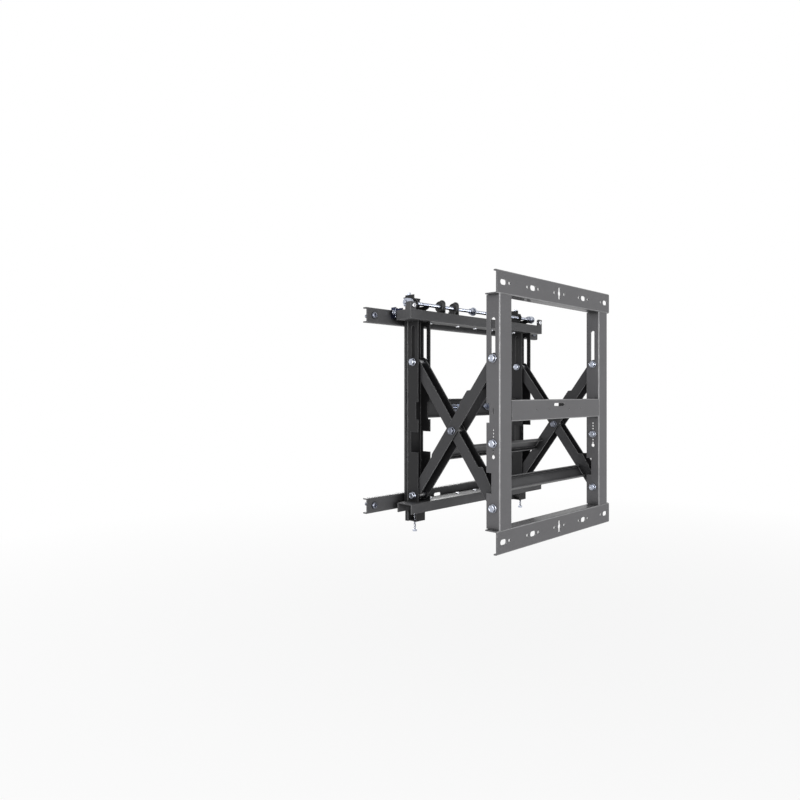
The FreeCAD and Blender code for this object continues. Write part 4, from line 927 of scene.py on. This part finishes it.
collar_last = (NECK + raised(CHAMFER_BELOW, NECK_HEIGHT) + raised(COLLAR, NECK_HEIGHT + BIG_HEX_HEIGHT)
               + BORE_RIM)
left_nut, middle_nut, right_nut = solids("rod_nuts")
stock = bmesh.new()
for foot, direction, rings in ((right_nut[0].x, 1, collar_first), (left_nut[1].x, -1, collar_last),
                               (middle_nut[0].x, 1, MIDDLE_RINGS)):
    turned(stock, facing((foot, rod_start.y, rod_start.z), (direction, 0, 0)), rings, through=True)
finished_piece(stock, "rod_nuts_headed", zinc, "rod_nuts")

# %% [markdown]
# ## Black adjusting wheels
#
# The wheels are moulded in black plastic and turned by a fingertip, so their rims are ribbed. The ribs could
# be an Array of small bars. A ring whose radius swings in and out as it goes round gives the same ribs in one
# closed mesh, and the swing can fade out towards the edges, as it does on a moulded wheel.

# %% Ribbed wheels
RIBS = 40
WHEEL_WIDTH = 9
WHEEL_RADIUS = 12.5


def ribbed(radius, depth):
    """Radius that dips by depth between ribs."""
    return lambda angle: radius - depth * (0.5 - 0.5 * cos(RIBS * angle)) ** 1.5


for node in ("adjust_wheel_inner", "adjust_wheel_outer"):
    low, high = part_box(node)
    stock = bmesh.new()
    half = [(0, 4.15), (0, 6.4), (0.25, 6.7), (0.9, 6.9), (0.9, 9.6), (0.2, 10.1), (0, 10.5), (0, 11.3),
            (0.35, ribbed(WHEEL_RADIUS - 0.6, 0.1)), (1.0, ribbed(WHEEL_RADIUS, 0.5))]
    far_half = [(WHEEL_WIDTH - height, radius) for height, radius in reversed(half)]
    turned(stock, facing((low.x, rod_start.y, rod_start.z), (1, 0, 0)), half + far_half, 4 * RIBS,
           through=True)
    finished_piece(stock, node + "_ribbed", wheel_black, node)

# %% [markdown]
# ## Push latches
#
# Behind the crossbar sit two latches in black plastic. Each has a plunger on a spring: pushed once it stays
# in, pushed again it comes out. A Boolean could drill the housing, but the drilled mesh is hard to bevel.
# Here the front face is one row of faces round a window, so that the walls, the window's rim and the bore are
# one clean surface. A Bevel modifier then rounds the moulded edges. Ears, ribs and a rim round the window are
# added in the same way.

# %% Boxes with rounded edges
def block(stock, low, high, draft=0.0):
    """Adds a box in mm whose front, towards -Y, is smaller by the draft on each side."""
    corners = []
    for y, inset in ((high[1], 0), (low[1], draft)):
        for x, z in ((low[0] + inset, low[2] + inset), (high[0] - inset, low[2] + inset),
                     (high[0] - inset, high[2] - inset), (low[0] + inset, high[2] - inset)):
            corners.append(stock.verts.new(Vector((x, y, z)) * MM))
    back, front = corners[:4], corners[4:]
    stock.faces.new(list(reversed(back)))
    stock.faces.new(front)
    for n in range(4):
        stock.faces.new((back[n - 1], back[n], front[n], front[n - 1]))


def round_edges(piece, width, segments=3, angle=30):
    """Rounds the sharp edges of a finished piece with a bevel that is applied at once."""
    bevel = piece.modifiers.new("rounding", "BEVEL")
    bevel.width = width * MM
    bevel.segments = segments
    bevel.limit_method = "ANGLE"
    bevel.angle_limit = radians(angle)
    bevel.harden_normals = True
    bpy.context.view_layer.objects.active = piece
    shown = piece.evaluated_get(bpy.context.evaluated_depsgraph_get())
    piece.data = bpy.data.meshes.new_from_object(shown)
    piece.modifiers.clear()


print("a box has 6 faces before its edges are rounded")

# %% A box with a round window
WINDOW = 5.05
WINDOW_SIDES = 32


def outline_row(stock, points, y):
    """Corners at the points' X and Z, all at the same Y, in mm."""
    return [stock.verts.new(Vector((point.x, y, point.z)) * MM) for point in points]


def windowed_box(stock, low, high, centre, bore_end):
    """Adds a box with a round bore from its front, which looks towards -Y, to bore_end. All in mm."""
    outline = []
    hole = []
    for n in range(WINDOW_SIDES):
        angle = 2 * pi * (n + 0.5) / WINDOW_SIDES
        ray = Vector((cos(angle), 0, sin(angle)))
        reach_x = ((high[0] if ray.x > 0 else low[0]) - centre[0]) / ray.x
        reach_z = ((high[2] if ray.z > 0 else low[2]) - centre[2]) / ray.z
        outline.append(Vector(centre) + ray * min(reach_x, reach_z))
        hole.append(Vector(centre) + ray * WINDOW)
    for x, z in ((low[0], low[2]), (low[0], high[2]), (high[0], low[2]), (high[0], high[2])):
        nearest = min(outline, key=lambda point: (point.x - x) ** 2 + (point.z - z) ** 2)
        nearest.x, nearest.z = x, z
    rows = [outline_row(stock, points, y) for points, y in
            ((outline, high[1]), (outline, low[1]), (hole, low[1]), (hole, bore_end))]
    for first, second in zip(rows, rows[1:]):
        for n in range(WINDOW_SIDES):
            stock.faces.new((first[n - 1], first[n], second[n], second[n - 1]))
    stock.faces.new(list(reversed(rows[0])))
    stock.faces.new(rows[-1])


print("window of", 2 * WINDOW, "mm for a plunger of 10 mm")

# %% Housing of a latch
EAR = 8
BORE_END = -7


def housing_box(side):
    """Lowest and highest corner of a housing, in mm, and the middle of its window."""
    low, high = (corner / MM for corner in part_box("latch_housing_" + side))
    return low, high, Vector(((low.x + high.x) / 2, 0, (low.z + high.z) / 2))


def latch_housing(side):
    """The housing between its two ears, bored for the plunger."""
    node = "latch_housing_" + side
    low, high, centre = housing_box(side)
    stock = bmesh.new()
    windowed_box(stock, Vector((low.x + EAR, low.y, low.z)), Vector((high.x - EAR, high.y, high.z)), centre,
                 BORE_END)
    round_edges(finished_piece(stock, node + "_moulded", latch_black, node), 0.9)


print("left housing in mm", [[round(v, 1) for v in corner] for corner in housing_box("left")[:2]])

# %% Ears, ribs and rim of a latch
RIB_PLACES = (-15, -7.5, 7.5, 15)
RIB_HALF = 0.7
WINDOW_RIM = [(0, 5.3), (0, 8.2), (0.8, 7.8), (1.2, 7.4), (1.2, 5.9), (0.9, 5.3)]


def latch_ribs(side):
    """The two ears, ribs above and below, and a rim round the window, as one piece."""
    low, high, centre = housing_box(side)
    stock = bmesh.new()
    for start, end in ((low.x, low.x + EAR + 1), (high.x - EAR - 1, high.x)):
        block(stock, (start, high.y - 2.5, low.z + 3), (end, high.y, high.z - 3), 0.3)
    for x in (centre.x + place for place in RIB_PLACES):
        for z in (low.z + 0.4, high.z - 1.4):
            block(stock, (x - RIB_HALF, low.y + 3, z - 0.4), (x + RIB_HALF, high.y - 2.6, z + 1.4))
    rim_foot = Vector((centre.x, low.y + 0.4, centre.z)) * MM
    turned(stock, facing(rim_foot, (0, -1, 0)), WINDOW_RIM, through=True)
    ribs = riding(closed_mesh(stock, "latch_ribs_" + side), latch_black, "wall_frame")
    round_edges(ribs, 0.25, 2)
    print(ribs.name, "faces", len(ribs.data.polygons))


print("each latch has two ears of", EAR, "mm and", 2 * len(RIB_PLACES), "ribs")

# %% Plungers, and both latches put together
PLUNGER_RINGS = [(0, 4.5), (0.5, 5), (17.5, 5), (18, 4.5), (19.2, 4.5), (19.7, 5), (38, 5), (38.4, 4.7),
                 (42, 4.5), (43.6, 3.9), (44.3, 2.6), (44.6, 0.8)]


def latch_plunger(side):
    """Round plunger with a groove and a blunt tip, which looks towards -Y."""
    node = "latch_plunger_" + side
    low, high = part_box(node)
    foot = Vector(((low.x + high.x) / 2, high.y, (low.z + high.z) / 2))
    stock = bmesh.new()
    turned(stock, facing(foot, (0, -1, 0)), PLUNGER_RINGS)
    finished_piece(stock, node + "_turned", latch_black, node)


for side in ("left", "right"):
    latch_housing(side)
    latch_ribs(side)
    latch_plunger(side)

# %% [markdown]
# ## Weld beads
#
# The frames are welded before they are coated, so the beads carry the same coat. A bead is a row of frozen
# ripples. A noise texture on a plain rod would give lumps without direction, so the bead is a curve instead:
# its points lie along the joint, each a little further on, and their radius rises and falls once per ripple.
# The curve's round bevel turns that into the scaly half-round that a welding torch leaves.

# %% Weld bead helper
RIPPLE = 1.7
SWELL = (1, 0.86, 0.93)


def bead(name, start, end, body, finish, size=1.9):
    """Weld bead between two points in mm."""
    start, end = Vector(start), Vector(end)
    span = end - start
    count = max(1, round(span.length / RIPPLE)) * len(SWELL)
    line = bpy.data.curves.new(name, "CURVE")
    line.dimensions = "3D"
    line.bevel_depth = size * MM
    line.bevel_resolution = 3
    line.use_fill_caps = True
    run = line.splines.new("POLY")
    run.points.add(count)
    for n, point in enumerate(run.points):
        share = n / count
        tapered = min(1, 0.35 + 6 * min(share, 1 - share))
        place = (start + span * share) * MM
        point.co = (*place, 1)
        point.radius = tapered * SWELL[n % len(SWELL)]
    guide = bpy.data.objects.new(name, line)
    bpy.context.scene.collection.objects.link(guide)
    shown = guide.evaluated_get(bpy.context.evaluated_depsgraph_get())
    mesh = bpy.data.meshes.new_from_object(shown)
    bpy.data.objects.remove(guide)
    mesh.name = name
    mesh.shade_smooth()
    mesh.materials.clear()
    riding(mesh, finish, body)


print("a ripple every", RIPPLE, "mm")

# %% Find where a plate meets its neighbour
def end_seam(node, sign):
    """Ends in mm of the longest edge around a node's end face, at its left or its right end."""
    copy = welded_copy(node)
    tip = max(sign * corner.co.x for corner in copy.verts) - 0.01 * MM
    around = [edge for edge in copy.edges if all(sign * corner.co.x > tip for corner in edge.verts)
              and edge.calc_face_angle(0) > 1]
    seam = [corner.co / MM for corner in max(around, key=lambda edge: edge.calc_length()).verts]
    copy.free()
    return seam


print("seam of the lower plate", [[round(v, 1) for v in end] for end in end_seam("inner_torsion_plate", 1)])

# %% Beads along the frame joints
SHEET = 2.5
SEAM_DEPTH = SHEET + 0.4

for side, sign in (("left", -1), ("right", 1)):
    for node, coat in (("wall_crossbar", wall_coat), ("front_mid_bar", front_coat_shaded)):
        low, high = (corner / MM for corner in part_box(node))
        x = sign * (high.x - 0.4)
        y = high.y - SEAM_DEPTH if node == "wall_crossbar" else low.y + SEAM_DEPTH
        body = frame["nodes"][node]["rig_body"]
        bead("weld_" + node + "_" + side, (x, y, low.z + 5), (x, y, high.z - 5), body, coat)
    for node in ("inner_torsion_plate", "outer_torsion_plate"):
        start, end = end_seam(node, sign)
        trim = (end - start).normalized() * 1.5
        body = frame["nodes"][node]["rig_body"]
        bead("weld_" + node + "_" + side, start + trim, end - trim, body, plate_coat_shaded, size=1.6)
    print("welds on the", side, "measured from the mesh")
